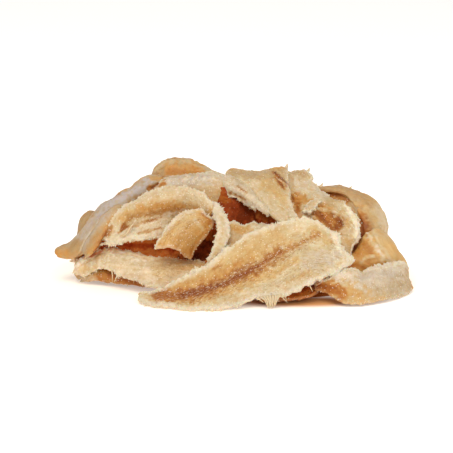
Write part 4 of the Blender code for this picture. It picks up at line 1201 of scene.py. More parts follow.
# %% Paint shade where the heap shelters
# Painted shade: these tints darken and redden the colour by the share of rays that hit the heap.
SHADE_TINT = (1.0, 0.86, 0.68, 1.0)
DEEP_SHADE_TINT = (0.95, 0.4, 0.22, 1.0)
DEEPEST_SHADE_TINT = (1.15, 0.62, 0.42, 1.0)


def new_material(name):
    """A material, its node tree and its shader."""
    material = bpy.data.materials.new(name)
    material.use_nodes = True
    return material, material.node_tree, material.node_tree.nodes["Principled BSDF"]


def with_painted_shade(tree, colour, deep_shade_tint, share_gain=1.0):
    """The colour with painted shade: warmer where the heap shelters it a little, deep red where fully."""
    share = maths(tree, "MULTIPLY", attribute(tree, "shelter"), share_gain)
    shaded = mixed(tree, 1.0, colour, SHADE_TINT, "MULTIPLY")
    deep = mixed(tree, 1.0, colour, deep_shade_tint, "MULTIPLY")
    colour = mixed(tree, mapped(tree, share, 0.12, 0.55), colour, shaded)
    return mixed(tree, mapped(tree, share, 0.5, 0.9), colour, deep)


# %% The recipe of a strip's finish
# Tints for the low and raised parts of the relief, which are painted shade and highlight, and for dark and
# pale fibre lines.
LOW_SHADE_AND_LINE_TINT = (0.87, 0.69, 0.46, 1.0)
TOP_LIGHT_AND_STREAK_TINT = (1.14, 1.2, 1.28, 1.0)
FLECK_TINT = (0.5, 0.3, 0.15, 1.0)
PIT_TINT = (0.88, 0.72, 0.5, 1.0)
GRAIN_SHARE = 1.3
STREAK_SHARE = 0.18
DARK_LINE_SHARE = 0.3
DARK_FLECK_SHARE = 0.75
PALE_FLECK_SHARE = 0.7
RIM_SHARE = 0.92
RIM_ROUGHER = 0.25
GLINT_SMOOTHER = 0.3
COAT_ROUGHNESS = 0.35
SCATTER_WEIGHT = 0.4
SCATTER_DEPTH = 0.001
SCATTER_REACH = (1.4, 0.6, 0.22)


def fish_material(name, grain_size, grain_depth, relief_tone_and_shade_contrast, fibre_depth, pit_strength, roughness, coat,
                  painted_glint_strength, specular, deep_shade_tint):
    material, tree, shader = new_material(name)
    place = add(tree, "ShaderNodeTexCoord").outputs["Object"]
    grain = add(tree, "ShaderNodeGroup", {"Vector": place, "Size": grain_size}, node_tree=GRAIN)
    fibres = add(tree, "ShaderNodeGroup", {"Run": attribute(tree, "run", "Vector")}, node_tree=FIBRES)
    torn_rim = add(tree, "ShaderNodeGroup", {
        "Vector": place, "Rim": attribute(tree, "rim"), "Torn": attribute(tree, "torn"),
        "Raised": attribute(tree, "raised")}, node_tree=TORN_RIM)
    rim_mask = torn_rim.outputs["Mask"]

    tint = attribute(tree, "tint", "Color")
    darker_for_shade_and_lines = mixed(tree, 1.0, tint, LOW_SHADE_AND_LINE_TINT, "MULTIPLY")
    paler_for_light_and_streaks = mixed(tree, 1.0, tint, TOP_LIGHT_AND_STREAK_TINT, "MULTIPLY")
    # Painted shade and highlight: the low parts of the relief are painted darker and its raised tops paler,
    # along with the real amber in its hollows.
    raised = maths(tree, "MULTIPLY_ADD", grain.outputs["Height"], GRAIN_SHARE, attribute(tree, "raised"))
    low = maths(tree, "MULTIPLY", mapped(tree, raised, 0.9, 0.1), relief_tone_and_shade_contrast)
    high = maths(tree, "MULTIPLY", mapped(tree, raised, 1.0, 1.9), relief_tone_and_shade_contrast)
    colour = mixed(tree, low, tint, darker_for_shade_and_lines)
    colour = mixed(tree, high, colour, paler_for_light_and_streaks)
    colour = mixed(tree, maths(tree, "MULTIPLY", fibres.outputs["Streaks"], STREAK_SHARE), colour, paler_for_light_and_streaks)
    dark_lines = maths(tree, "MULTIPLY", fibres.outputs["Dark Lines"], DARK_LINE_SHARE)
    colour = mixed(tree, dark_lines, colour, darker_for_shade_and_lines)
    flecked = attribute(tree, "flecked")
    dark_fleck = maths(tree, "MULTIPLY", mapped(tree, fibres.outputs["Flecks"], 0.47, 0.37), flecked)
    pale_fleck = maths(tree, "MULTIPLY", mapped(tree, fibres.outputs["Flecks"], 0.56, 0.66), flecked)
    colour = mixed(tree, maths(tree, "MULTIPLY", dark_fleck, DARK_FLECK_SHARE), colour,
                   mixed(tree, 1.0, colour, FLECK_TINT, "MULTIPLY"))
    colour = mixed(tree, maths(tree, "MULTIPLY", pale_fleck, PALE_FLECK_SHARE), colour, (*TONES["ash"], 1.0))
    colour = mixed(tree, maths(tree, "MULTIPLY", rim_mask, RIM_SHARE), colour, (*TONES["white_rim"], 1.0))
    pitted = mixed(tree, 1.0, colour, PIT_TINT, "MULTIPLY")
    colour = mixed(tree, maths(tree, "MULTIPLY", grain.outputs["Pits"], pit_strength), colour, pitted)
    # Painted highlight: white specks, partly salt and partly painted glints, only where the heap doesn't
    # shelter the point.
    lit = mapped(tree, attribute(tree, "shelter"), 0.6, 0.1)
    glints = maths(tree, "MULTIPLY", grain.outputs["Glints"], lit)
    colour = mixed(tree, maths(tree, "MULTIPLY", glints, painted_glint_strength), colour, (*TONES["salt_white"], 1.0))
    # Painted shade where the heap shelters the point.
    tree.links.new(with_painted_shade(tree, colour, deep_shade_tint), shader.inputs["Base Color"])

    matt = maths(tree, "MULTIPLY_ADD", rim_mask, RIM_ROUGHER, roughness)
    matt = maths(tree, "MULTIPLY_ADD", glints, -GLINT_SMOOTHER, matt, clamp=True)
    tree.links.new(matt, shader.inputs["Roughness"])
    height = maths(tree, "MULTIPLY", grain.outputs["Height"], grain_depth)
    height = maths(tree, "MULTIPLY_ADD", fibres.outputs["Height"], fibre_depth, height)
    bump = add(tree, "ShaderNodeBump", {"Strength": 1.0, "Distance": 1.0, "Height": height})
    tree.links.new(bump.outputs[0], shader.inputs["Normal"])
    shader.inputs["Specular IOR Level"].default_value = specular
    shader.inputs["Coat Weight"].default_value = coat
    shader.inputs["Coat Roughness"].default_value = COAT_ROUGHNESS
    shader.inputs["Subsurface Weight"].default_value = SCATTER_WEIGHT
    shader.inputs["Subsurface Scale"].default_value = SCATTER_DEPTH
    shader.inputs["Subsurface Radius"].default_value = SCATTER_REACH
    return material


# %% Mix flesh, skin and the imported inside
FLESH = fish_material("torn_flesh", grain_size=0.00055, grain_depth=0.00024, relief_tone_and_shade_contrast=0.5,
                      fibre_depth=0.00012, pit_strength=0.35, roughness=0.5, coat=0.0, painted_glint_strength=0.6,
                      specular=0.25, deep_shade_tint=DEEP_SHADE_TINT)
SKIN = fish_material("fish_skin", grain_size=0.0005, grain_depth=0.00012, relief_tone_and_shade_contrast=0.3,
                     fibre_depth=0.0001, pit_strength=0.25, roughness=0.45, coat=0.1, painted_glint_strength=0.1,
                     specular=0.25, deep_shade_tint=DEEP_SHADE_TINT)
PACKED = fish_material("packed_flesh", grain_size=0.0007, grain_depth=0.0004, relief_tone_and_shade_contrast=0.6,
                       fibre_depth=0.0002, pit_strength=0.6, roughness=0.7, coat=0.0, painted_glint_strength=0.1,
                       specular=0.03, deep_shade_tint=DEEPEST_SHADE_TINT)
print("finishes:", FLESH.name, SKIN.name, PACKED.name)

# %% [markdown]
# ## Crumbs, fibres and salt
#
# What lies loose on the strips is too small for a pattern of its own. Crumbs and torn fibres take the tone
# of the strip they sit on, which the scattering copies to them, lightened to cream. Salt is clear and
# nearly white, and shiny enough to glint.

# %% The finish of what lies loose
LOOSE_PAINTED_SHADE_GAIN = 0.6
LOOSE_GRAIN_SCALE = 900.0
LOOSE_SCATTER_DEPTH = 0.0008
LOOSE_SCATTER_REACH = (1.0, 0.6, 0.35)


def loose_material(name, tone, share, roughness, specular):
    material, tree, shader = new_material(name)
    place = add(tree, "ShaderNodeTexCoord").outputs["Object"]
    uneven = add(tree, "ShaderNodeTexNoise", {"Vector": place, "Scale": LOOSE_GRAIN_SCALE,
                                              "Detail": 2.0}).outputs[0]
    share = maths(tree, "MULTIPLY_ADD", uneven, 0.3, share - 0.15, clamp=True)
    colour = mixed(tree, share, attribute(tree, "tint", "Color"), (*TONES[tone], 1.0))
    # Painted shade where the heap shelters a loose piece, weaker than on the strips.
    tree.links.new(with_painted_shade(tree, colour, DEEP_SHADE_TINT, LOOSE_PAINTED_SHADE_GAIN), shader.inputs["Base Color"])
    tree.links.new(maths(tree, "MULTIPLY_ADD", uneven, 0.2, roughness), shader.inputs["Roughness"])
    shader.inputs["Specular IOR Level"].default_value = specular
    shader.inputs["Subsurface Weight"].default_value = SCATTER_WEIGHT
    shader.inputs["Subsurface Scale"].default_value = LOOSE_SCATTER_DEPTH
    shader.inputs["Subsurface Radius"].default_value = LOOSE_SCATTER_REACH
    return material


CRUMB = loose_material("rim_crumb", "white_rim", 0.75, 0.5, 0.4)
FIBRE = loose_material("torn_fibre", "cream", 0.7, 0.5, 0.4)
SALT = loose_material("salt", "salt_white", 0.5, 0.15, 0.6)
print("loose finishes:", CRUMB.name, FIBRE.name, SALT.name)

# %% [markdown]
# ## The relief, as Geometry Nodes
#
# Granules and fibres are real relief on a strip, not only a trick of the shading, because a strip is looked
# at from all sides. One tree raises and lowers the surface along its normals: by slow lumps, by fibres
# that follow the run, and by crumbly grains that get higher at a torn rim. It also keeps every point on or
# above the floor. A modifier's input is set by its socket's identifier, before the object is first
# evaluated, and the result is copied into a plain mesh.

# %% Helpers for Geometry Nodes
def named(tree, name, kind="FLOAT"):
    return add(tree, "GeometryNodeInputNamedAttribute", {"Name": name}, data_type=kind).outputs[0]


def centred_noise(tree, vector, scale, seed, detail=2.0):
    noise = add(tree, "ShaderNodeTexNoise", {"Vector": vector, "W": seed, "Scale": scale, "Detail": detail},
                noise_dimensions="4D").outputs[0]
    return maths(tree, "MULTIPLY_ADD", noise, 2.0, -1.0)


def on_the_floor(tree, geometry, place=None):
    """A node that keeps a geometry's points, or the places given for them, on or above the floor."""
    place = place or tree.nodes.new("GeometryNodeInputPosition").outputs[0]
    spot = add(tree, "ShaderNodeSeparateXYZ", {0: place}).outputs
    height = maths(tree, "MAXIMUM", spot[2], 0.0)
    above = add(tree, "ShaderNodeCombineXYZ", {0: spot[0], 1: spot[1], 2: height})
    return add(tree, "GeometryNodeSetPosition", {"Geometry": geometry, "Position": above.outputs[0]})


def geometry_tree(name, inputs):
    """A tree for a Geometry Nodes modifier, with its named inputs and its output."""
    tree = bpy.data.node_groups.new(name, "GeometryNodeTree")
    tree.is_modifier = True
    geometry = {"Geometry": "NodeSocketGeometry"}
    return tree, *sockets(tree, {**geometry, **inputs}, geometry)


# %% Build the relief tree
def relief_tree():
    tree, given, out = geometry_tree("dried_relief", {
        "Lump Size": 0.004, "Lump Height": 0.0003, "Fibre Spacing": 0.0014, "Fibre Height": 0.00016,
        "Crumb Size": 0.001, "Crumb Height": 0.00016, "Rim Gain": 0.9, "Seed": 0.0,
        "Material": "NodeSocketMaterial"})
    place = tree.nodes.new("GeometryNodeInputPosition").outputs[0]
    slow = centred_noise(tree, place, maths(tree, "DIVIDE", 1.0, given["Lump Size"]), given["Seed"])
    parts = add(tree, "ShaderNodeSeparateXYZ", {0: named(tree, "run", "FLOAT_VECTOR")}).outputs
    strands = add(tree, "ShaderNodeCombineXYZ", {0: maths(tree, "MULTIPLY", parts[0], 0.14), 1: parts[1],
                                                 2: maths(tree, "MULTIPLY", parts[2], 0.4)}).outputs[0]
    fibre = centred_noise(tree, strands, maths(tree, "DIVIDE", 1.0, given["Fibre Spacing"]), given["Seed"])
    crumb_scale = maths(tree, "DIVIDE", 1.0, given["Crumb Size"])
    crumb = centred_noise(tree, place, crumb_scale, given["Seed"], 3.0)
    granule_scale = maths(tree, "MULTIPLY", crumb_scale, 1.2)
    granule = add(tree, "ShaderNodeTexVoronoi", {"Vector": place, "Scale": granule_scale})
    granule = maths(tree, "MULTIPLY_ADD", granule.outputs["Distance"], -1.5, 0.75)
    crumb = maths(tree, "ADD", crumb, granule)
    near_rim = maths(tree, "MULTIPLY", mapped(tree, named(tree, "rim"), 1.3, 0.1), named(tree, "torn"))
    gain = maths(tree, "MULTIPLY_ADD", near_rim, given["Rim Gain"], 0.6)
    height = maths(tree, "MULTIPLY", slow, given["Lump Height"])
    height = maths(tree, "MULTIPLY_ADD", fibre, given["Fibre Height"], height)
    crumbs = maths(tree, "MULTIPLY", maths(tree, "MULTIPLY", crumb, given["Crumb Height"]), gain)
    height = maths(tree, "ADD", height, crumbs)
    raised = maths(tree, "MULTIPLY_ADD", fibre, 0.4, crumb)
    kept = add(tree, "GeometryNodeStoreNamedAttribute", {"Geometry": given["Geometry"], "Name": "raised",
                                                         "Value": raised})
    normal = tree.nodes.new("GeometryNodeInputNormal").outputs[0]
    moved = vector_maths(tree, "ADD", place, vector_maths(tree, "SCALE", normal, height))
    shaped = on_the_floor(tree, kept.outputs[0], moved)
    real = add(tree, "GeometryNodeRealizeInstances", {"Geometry": shaped.outputs[0]})
    last = add(tree, "GeometryNodeSetMaterial", {"Geometry": real.outputs[0], "Material": given["Material"]})
    tree.links.new(last.outputs[0], out["Geometry"])
    return tree


RELIEF = relief_tree()
print("the relief tree has", len(RELIEF.nodes), "nodes")


# %% Apply a tree to an object
def set_inputs(modifier, values):
    """Sets a Geometry Nodes modifier's inputs by the identifiers that their names have."""
    for item in modifier.node_group.interface.items_tree:
        if item.item_type == "SOCKET" and item.in_out == "INPUT" and item.name in values:
            modifier[item.identifier] = values[item.name]


def grown(target, tree, **values):
    """Runs a tree on an object and keeps the result as its plain mesh."""
    modifier = target.modifiers.new(tree.name, "NODES")
    modifier.node_group = tree
    set_inputs(modifier, {name.replace("_", " ").title(): value for name, value in values.items()})
    graph = bpy.context.evaluated_depsgraph_get()
    mesh = bpy.data.meshes.new_from_object(target.evaluated_get(graph), preserve_all_data_layers=True,
                                           depsgraph=graph)
    target.modifiers.clear()
    plain, target.data = target.data, mesh
    bpy.data.meshes.remove(plain)
    mesh.name = target.name
    return target


def triangles(made):
    return sum(len(face.vertices) - 2 for face in made.data.polygons)

# %% [markdown]
# ## Making the strips
#
# The pieces come one by one: each front strip from its own rails, look and marks, then the twelve behind
# from how they lie. Skin and cut edges are smoother and a little shiny, so a few strips get the skin
# finish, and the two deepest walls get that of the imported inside. Each is a separate object in one
# collection, which the scattering reads later.

# %% Make the front strips
SKIN_STRIPS = {"skin_side_strip", "side_fold", "left_lobe", "left_tip", "back_arc", "right_loop",
               "right_curl"}
FRONT_STEP = 0.32
BACK_STEP = 0.5
FLESH_RELIEF = {"lump_size": 0.0042, "lump_height": 0.0005, "fibre_height": 0.00018, "crumb_height": 0.0001,
                "crumb_size": 0.0011, "rim_gain": 2.6}
SKIN_RELIEF = {"lump_size": 0.0045, "lump_height": 0.0005, "fibre_height": 0.00012, "crumb_height": 0.00005,
               "crumb_size": 0.0012, "rim_gain": 1.5}
WALL_RELIEF = {"lump_size": 0.005, "lump_height": 0.0008, "fibre_height": 0.0005, "fibre_spacing": 0.002,
               "crumb_height": 0.0003}
KINDS = {
    "flesh": (FLESH_RELIEF, FLESH, 1.0),
    "skin": (SKIN_RELIEF, SKIN, 0.2),
    "wall": (WALL_RELIEF, PACKED, 0.0),
}
WALLS = {"hollow_wall", "leaf_wall"}
STRIPS = bpy.data.collections.new("strips")
bpy.context.scene.collection.children.link(STRIPS)


def finish_strip(made, seed, kind):
    relief, finish, salted = KINDS[kind]
    store(made.data, "salted", "FLOAT", np.full(len(made.data.vertices), salted))
    grown(made, RELIEF, seed=float(seed), material=finish, **relief)
    bpy.context.scene.collection.objects.unlink(made)
    STRIPS.objects.link(made)
    print(f"{made.name}: {triangles(made)} triangles")


def make_front_strips():
    draw = np.random.default_rng(11)
    for seed, (name, rails) in enumerate(FRONT_STRIPS.items()):
        rails = [np.array([seen(*point) for point in rail]) for rail in rails]
        if len(rails) == 2:
            rails = with_bulge(rails, FRONT_BULGE[name])
        made = make_strip(name, rails, FRONT_LOOKS[name], MARKS.get(name, []), FRONT_STEP,
                          lambda points: EYE - points, draw, seed)
        finish_strip(made, seed, "skin" if name in SKIN_STRIPS else "wall" if name in WALLS else "flesh")


make_front_strips()


# %% Make the strips behind
def make_laid_strips():
    draw = np.random.default_rng(12)
    for number, (name, (*place, bulge)) in enumerate(LAID_STRIPS.items()):
        seed = len(FRONT_STRIPS) + number
        rails = with_bulge(laid_rims(*place), bulge)
        look = LAID_LOOKS[number % len(LAID_LOOKS)]
        made = make_strip(name, rails, look, None, BACK_STEP, lambda points: points - HEAP_HEART, draw, seed)
        finish_strip(made, seed, "skin" if number % len(LAID_LOOKS) == 1 else "flesh")


make_laid_strips()

# %% [markdown]
# ## The imported inside
#
# Between the strips the eye meets more fish, packed and in shade. Two low mounds stand for it, a little
# inside those of the solid. Their surface is a grid of rings, with the strongest relief of all, so that what
# shows in a gap looks like torn flesh in shadow. In front it is painted dark brown and rust, as painted
# shade of the gaps. Towards the back it lies in the open, so there it has the tones of the strips.

# %% Make the core
CORE_MOUNDS = {
    "core_back": ((2.0, 8.0), (39.0, 20.0), 20.0),
    "core_front": ((14.0, -12.0), (25.0, 12.0), 15.0),
}
CORE_POWER = 2.5
CORE_INSET = 0.4
CORE_RINGS = 44
CORE_SIDES = 220
CORE_BACK_FROM = 13.0
CORE_BACK_FADE = 5.0
CORE_PATCH_SIZE = 6.0
FAR_FROM_RIM = 9.0
CORE_RELIEF = {"lump_size": 0.007, "lump_height": 0.0009, "fibre_height": 0.0007, "fibre_spacing": 0.003,
               "crumb_height": 0.0003}


def make_mound(name, centre, radii, top):
    angles = math.tau * np.arange(CORE_SIDES) / CORE_SIDES
    rise = np.sin(math.pi / 2.0 * np.linspace(0.0, 1.0, CORE_RINGS, endpoint=False))
    reach = (1.0 - rise**CORE_POWER) ** (1.0 / CORE_POWER)
    radii = np.array(radii) - CORE_INSET
    points = np.stack((centre[0] + radii[0] * reach[:, None] * np.cos(angles),
                       centre[1] + radii[1] * reach[:, None] * np.sin(angles),
                       np.repeat((top - CORE_INSET) * rise[:, None], CORE_SIDES, axis=1)), axis=-1)
    numbers = np.arange(CORE_RINGS * CORE_SIDES).reshape(CORE_RINGS, CORE_SIDES)
    closed = np.concatenate((numbers, numbers[:, :1]), axis=1)
    faces = grid_faces(closed)[:, ::-1].tolist()
    peak = CORE_RINGS * CORE_SIDES
    faces += [(*pair, peak) for pair in zip(closed[-1, :-1].tolist(), closed[-1, 1:].tolist())]
    faces.append(numbers[0, ::-1].tolist())
    points = np.concatenate((points.reshape(-1, 3), [[*centre, top - CORE_INSET]]))
    mesh = smooth_mesh(name, points, faces)
    patches = 0.5 + 0.5 * lumps(points, CORE_PATCH_SIZE, 5)[:, None]
    # Painted shade: in front, where the core shows in the gaps, it is painted dark brown and rust.
    gap_shade = TONES["brown"] * (1.0 - patches) + TONES["rust"] * patches
    open_air = TONES["tan"] * (1.0 - patches) + TONES["amber"] * patches
    behind = ease((points[:, 1:2] - CORE_BACK_FROM) / CORE_BACK_FADE)
    tint = gap_shade * (1.0 - behind) + open_air * behind
    store_tint(mesh, tint)
    store(mesh, "run", "FLOAT_VECTOR", points * MM)
    store(mesh, "rim", "FLOAT", np.full(len(points), FAR_FROM_RIM))
    made = grown(linked(name, mesh), RELIEF, seed=3.0, material=PACKED, **CORE_RELIEF)
    print(f"{name}: {triangles(made)} triangles")
    return made


CORE = [make_mound(name, *sizes) for name, sizes in CORE_MOUNDS.items()]

# %% [markdown]
# ## How sheltered each point is
#
# In the gaps of the heap the light has passed through fish before it arrives, and it comes out a deep red
# brown. The materials paint that shade into the colour, so every point needs to know how sheltered it is.
# One tree sends rays from each point to twelve directions around its normal, counts how many of them soon
# hit the heap, and stores the share. Hits nearer than a strip is thick don't count, because they are where
# two strips touch. The rays need one mesh to hit, so a first small tree gathers all the strips and the core
# in one.

# %% Send rays from every point
SHELTER_RAYS = 12
SHELTER_REACH = 0.013
SHELTER_NEAREST = 0.0016
SHELTER_LIFT = 0.0003
SHELTER_SPREAD = 0.95
GOLDEN_TURN = math.pi * (3.0 - math.sqrt(5.0))


def gather_tree():
    tree, given, out = geometry_tree("gather", {"Pieces": "NodeSocketCollection"})
    pieces = add(tree, "GeometryNodeCollectionInfo", {"Collection": given["Pieces"]}).outputs[0]
    real = add(tree, "GeometryNodeRealizeInstances", {"Geometry": pieces})
    tree.links.new(real.outputs[0], out["Geometry"])
    return tree


def shelter_tree():
    tree, given, out = geometry_tree("shelter", {"Heap": "NodeSocketObject", "Reach": SHELTER_REACH})
    heap = add(tree, "GeometryNodeObjectInfo", {"Object": given["Heap"]}).outputs["Geometry"]
    place = tree.nodes.new("GeometryNodeInputPosition").outputs[0]
    normal = tree.nodes.new("GeometryNodeInputNormal").outputs[0]
    start = vector_maths(tree, "ADD", place, vector_maths(tree, "SCALE", normal, SHELTER_LIFT))
    total = 0.0
    for number in range(SHELTER_RAYS):
        height = 1.0 - (2.0 * number + 1.0) / SHELTER_RAYS
        turn = GOLDEN_TURN * number
        ring = SHELTER_SPREAD * math.sqrt(1.0 - height * height)
        spread = (ring * math.cos(turn), ring * math.sin(turn), SHELTER_SPREAD * height)
        way = vector_maths(tree, "ADD", normal, spread)
        ray = add(tree, "GeometryNodeRaycast", {"Target Geometry": heap, "Source Position": start,
                                                "Ray Direction": way, "Ray Length": given["Reach"]})
        apart = maths(tree, "GREATER_THAN", ray.outputs["Hit Distance"], SHELTER_NEAREST)
        total = maths(tree, "MULTIPLY_ADD", ray.outputs["Is Hit"], apart, total)
    share = maths(tree, "DIVIDE", total, float(SHELTER_RAYS))
    kept = add(tree, "GeometryNodeStoreNamedAttribute", {"Geometry": given["Geometry"], "Name": "shelter",
                                                         "Value": share})
    tree.links.new(kept.outputs[0], out["Geometry"])
    return tree


def find_shelter(pieces):
    group = bpy.data.collections.new("for_shelter")
    for piece in pieces:
        group.objects.link(piece)
    heap = grown(linked("gathered", bpy.data.meshes.new("gathered")), gather_tree(), pieces=group)
    tree = shelter_tree()
    for piece in pieces:
        grown(piece, tree, heap=heap)
    bpy.data.objects.remove(heap)
    bpy.data.collections.remove(group)


find_shelter([*STRIPS.objects, *CORE])

# %% [markdown]
# ## Scattering crumbs, fibres and salt
#
# A torn rim carries hundreds of crumbs, and short fibres stand out of it. Salt lies everywhere on the
# shown sides. One kind of tree does them all: it spreads points over the strips with a density that
# depends on the distance from the rim, puts a small shape on each, turned and sized at random, makes them
# real and gives them their finish. For salt the rim makes no difference, so its share of it is none. The
# shapes have few faces, because there are thousands.

# %% Build the scattering tree
def crumb_shape(tree):
    ball = add(tree, "GeometryNodeMeshIcoSphere", {"Radius": 1.0, "Subdivisions": 1}).outputs[0]
    return add(tree, "GeometryNodeTransform", {"Geometry": ball, "Scale": (1.0, 0.75, 0.6)}).outputs[0]


def fibre_shape(tree):
    cone = {"Vertices": 4, "Side Segments": 1, "Radius Top": 0.02, "Radius Bottom": 0.11, "Depth": 1.0}
    return add(tree, "GeometryNodeMeshCone", cone).outputs[0]


def spike_shape(tree):
    cone = {"Vertices": 5, "Side Segments": 1, "Radius Top": 0.04, "Radius Bottom": 0.38, "Depth": 1.0}
    whole = add(tree, "GeometryNodeMeshCone", cone).outputs[0]
    return add(tree, "GeometryNodeTransform", {"Geometry": whole, "Scale": (1.0, 0.45, 1.0)}).outputs[0]


def salt_shape(tree):
    return add(tree, "GeometryNodeMeshCube", {"Size": (1.5, 1.2, 1.0)}).outputs[0]


def random_value(tree, kind, low, high, seed):
    first = {"FLOAT_VECTOR": 0, "FLOAT": 2}[kind]
    node = add(tree, "FunctionNodeRandomValue", {first: low, first + 1: high, "Seed": seed}, data_type=kind)
    return node.outputs[{"FLOAT_VECTOR": 0, "FLOAT": 1}[kind]]


def scatter_tree(name, shape):
    tree, given, out = geometry_tree(name, {
        "Strips": "NodeSocketCollection", "Density": 1.0e5, "Reach": 1.0, "Rim Share": 1.0, "Hidden": 1.0,
        "Outwards": 0.0, "Smallest": 0.0001, "Largest": 0.0003, "Seed": 1,
        "Material": "NodeSocketMaterial"})
    strips = add(tree, "GeometryNodeCollectionInfo", {"Collection": given["Strips"]}).outputs[0]
    surface = add(tree, "GeometryNodeRealizeInstances", {"Geometry": strips}).outputs[0]
    near_rim = mapped(tree, maths(tree, "DIVIDE", named(tree, "rim"), given["Reach"]), 1.0, 0.35)
    near_rim = maths(tree, "MULTIPLY", near_rim, named(tree, "torn"))
    weight = maths(tree, "MULTIPLY_ADD", maths(tree, "SUBTRACT", near_rim, 1.0), given["Rim Share"], 1.0)
    side = maths(tree, "MAXIMUM", named(tree, "shown"), given["Hidden"])
    side = maths(tree, "MULTIPLY", side, named(tree, "salted"))
    density = maths(tree, "MULTIPLY", maths(tree, "MULTIPLY", weight, side), given["Density"])
    spread = add(tree, "GeometryNodeDistributePointsOnFaces", {"Mesh": surface, "Density": density,
                                                               "Seed": given["Seed"]})
    spread.use_legacy_normal = False
    anyhow = random_value(tree, "FLOAT_VECTOR", (-1.0, -1.0, -1.0), (1.0, 1.0, 1.0), given["Seed"])
    way = vector_maths(tree, "ADD", spread.outputs["Normal"], named(tree, "outward", "FLOAT_VECTOR"))
    way = add(tree, "ShaderNodeMix", {0: given["Outwards"], 4: anyhow, 5: way}, data_type="VECTOR").outputs[1]
    turn = add(tree, "FunctionNodeAlignRotationToVector", {"Vector": way}, axis="Z").outputs[0]
    size = random_value(tree, "FLOAT", given["Smallest"], given["Largest"], given["Seed"])
    placed = add(tree, "GeometryNodeInstanceOnPoints", {"Points": spread.outputs[0], "Instance": shape(tree),
                                                        "Rotation": turn, "Scale": size})
    real = add(tree, "GeometryNodeRealizeInstances", {"Geometry": placed.outputs[0]})
    laid = on_the_floor(tree, real.outputs[0])
    last = add(tree, "GeometryNodeSetMaterial", {"Geometry": laid.outputs[0], "Material": given["Material"]})
    tree.links.new(last.outputs[0], out["Geometry"])
    return tree


# %% Scatter them over the strips
def scatter(name, shape, **values):
    made = linked(name, bpy.data.meshes.new(name))
    grown(made, scatter_tree(name + "_tree", shape), strips=STRIPS, **values)
    print(f"{name}: {triangles(made)} triangles")
    return made


LOOSE = [
    scatter("rim_crumbs", crumb_shape, density=1.4e6, reach=0.8, rim_share=1.0, hidden=0.4,
            smallest=0.00014, largest=0.00046, seed=21, material=CRUMB),
    scatter("rim_fibres", fibre_shape, density=3.0e5, reach=0.4, rim_share=1.0, hidden=0.6, outwards=0.7,
            smallest=0.0003, largest=0.0009, seed=22, material=FIBRE),
    scatter("rim_spikes", spike_shape, density=2.0e5, reach=0.3, rim_share=1.0, hidden=0.6, outwards=0.75,
            smallest=0.0004, largest=0.0011, seed=24, material=CRUMB),
    scatter("salt_grains", salt_shape, density=1.5e5, rim_share=0.0, hidden=0.0,
            smallest=0.00005, largest=0.00017, seed=23, material=SALT),
]

# %% [markdown]
# ## Single hairs
#
# A few long fibres and spikes are seen one by one, so they are made one by one: a thin tube along a smooth
# run, from a thick end in the flesh to a point. The first number is how thick it starts, in millimetres.

# %% Make the single hairs
HAIRS = [
    (0.36, (17.2, 5.6, -32.6), (18, 4.1, -33.6), (19.4, 2.6, -33.6)),
    (0.3, (18.4, 5.6, -32.6), (18.8, 4.2, -33.4), (19.1, 3.1, -33.6)),
    (0.5, (9.4, 4, -33), (10.8, 3.5, -33.8), (11.8, 2.6, -34)),
    (0.7, (10.6, 4.5, -33), (12.2, 3.4, -34), (12.8, 1.8, -34.2)),
    (0.8, (11.8, 4.7, -33), (12.9, 3.2, -34), (13.1, 0.95, -34.2)),
    (0.9, (12.8, 4.8, -33), (13.6, 3, -34.2), (13.5, 0.9, -34.4)),
    (1.0, (13.8, 4.9, -33), (14.1, 3, -34.2), (14, 0.9, -34.4)),
    (0.9, (14.8, 5, -33), (14.7, 3, -34.2), (14.5, 1, -34.4)),
    (0.9, (15.7, 5.1, -33), (15.4, 3.2, -34), (15, 1.2, -34.2)),
    (0.8, (16.5, 5.2, -33), (16, 3.8, -33.8), (15.5, 1.7, -34)),
    (0.6, (17.3, 5.4, -32.8), (16.6, 4.4, -33.6), (16.1, 3, -33.8)),
    (0.5, (-36.5, 13.2, -12.4), (-36.2, 11.4, -13.8), (-36.3, 9.3, -14)),
    (0.5, (-35, 12.8, -12.8), (-34.9, 11, -14.2), (-35.5, 9.2, -14.4)),
    (0.4, (-33.8, 12.6, -13.4), (-33.4, 11.2, -14.4), (-34, 10.2, -14.6)),
    (0.4, (-33, 12.2, -13.6), (-32.4, 11.4, -14.6), (-32, 10.5, -14.8)),
    (0.6, (-29.4, 27.8, -8.6), (-30.6, 26.4, -10), (-31.6, 24.8, -10.8), (-33.6, 23.5, -10.8)),
    (0.8, (35.1, 39.2, 12.6), (35.5, 39.7, 12.4), (35.9, 40.1, 12.2)),
    (0.7, (39, 38.8, 12), (39.5, 39.3, 11.8), (39.9, 39.6, 11.8)),
    (1.2, (18.8, 45.2, 11.8), (19.2, 46.1, 11.8), (19.3, 46.8, 11.8)),
    (1.0, (25.9, 44.4, 11.8), (26.2, 45, 11.8), (26.4, 45.4, 11.8)),
    (0.9, (29.8, 39.4, 7.4), (30.3, 40.1, 7.4), (30.6, 40.7, 7.4)),
    (0.4, (26.4, 8, -30.8), (26.9, 7.1, -31.4), (27.3, 6.2, -31.4)),
    (0.4, (38.6, 13.4, -26.4), (38.2, 12.8, -26.4), (37.4, 12.5, -26.4)),
]
HAIR_SIDES = 6
HAIR_STEPS = 9


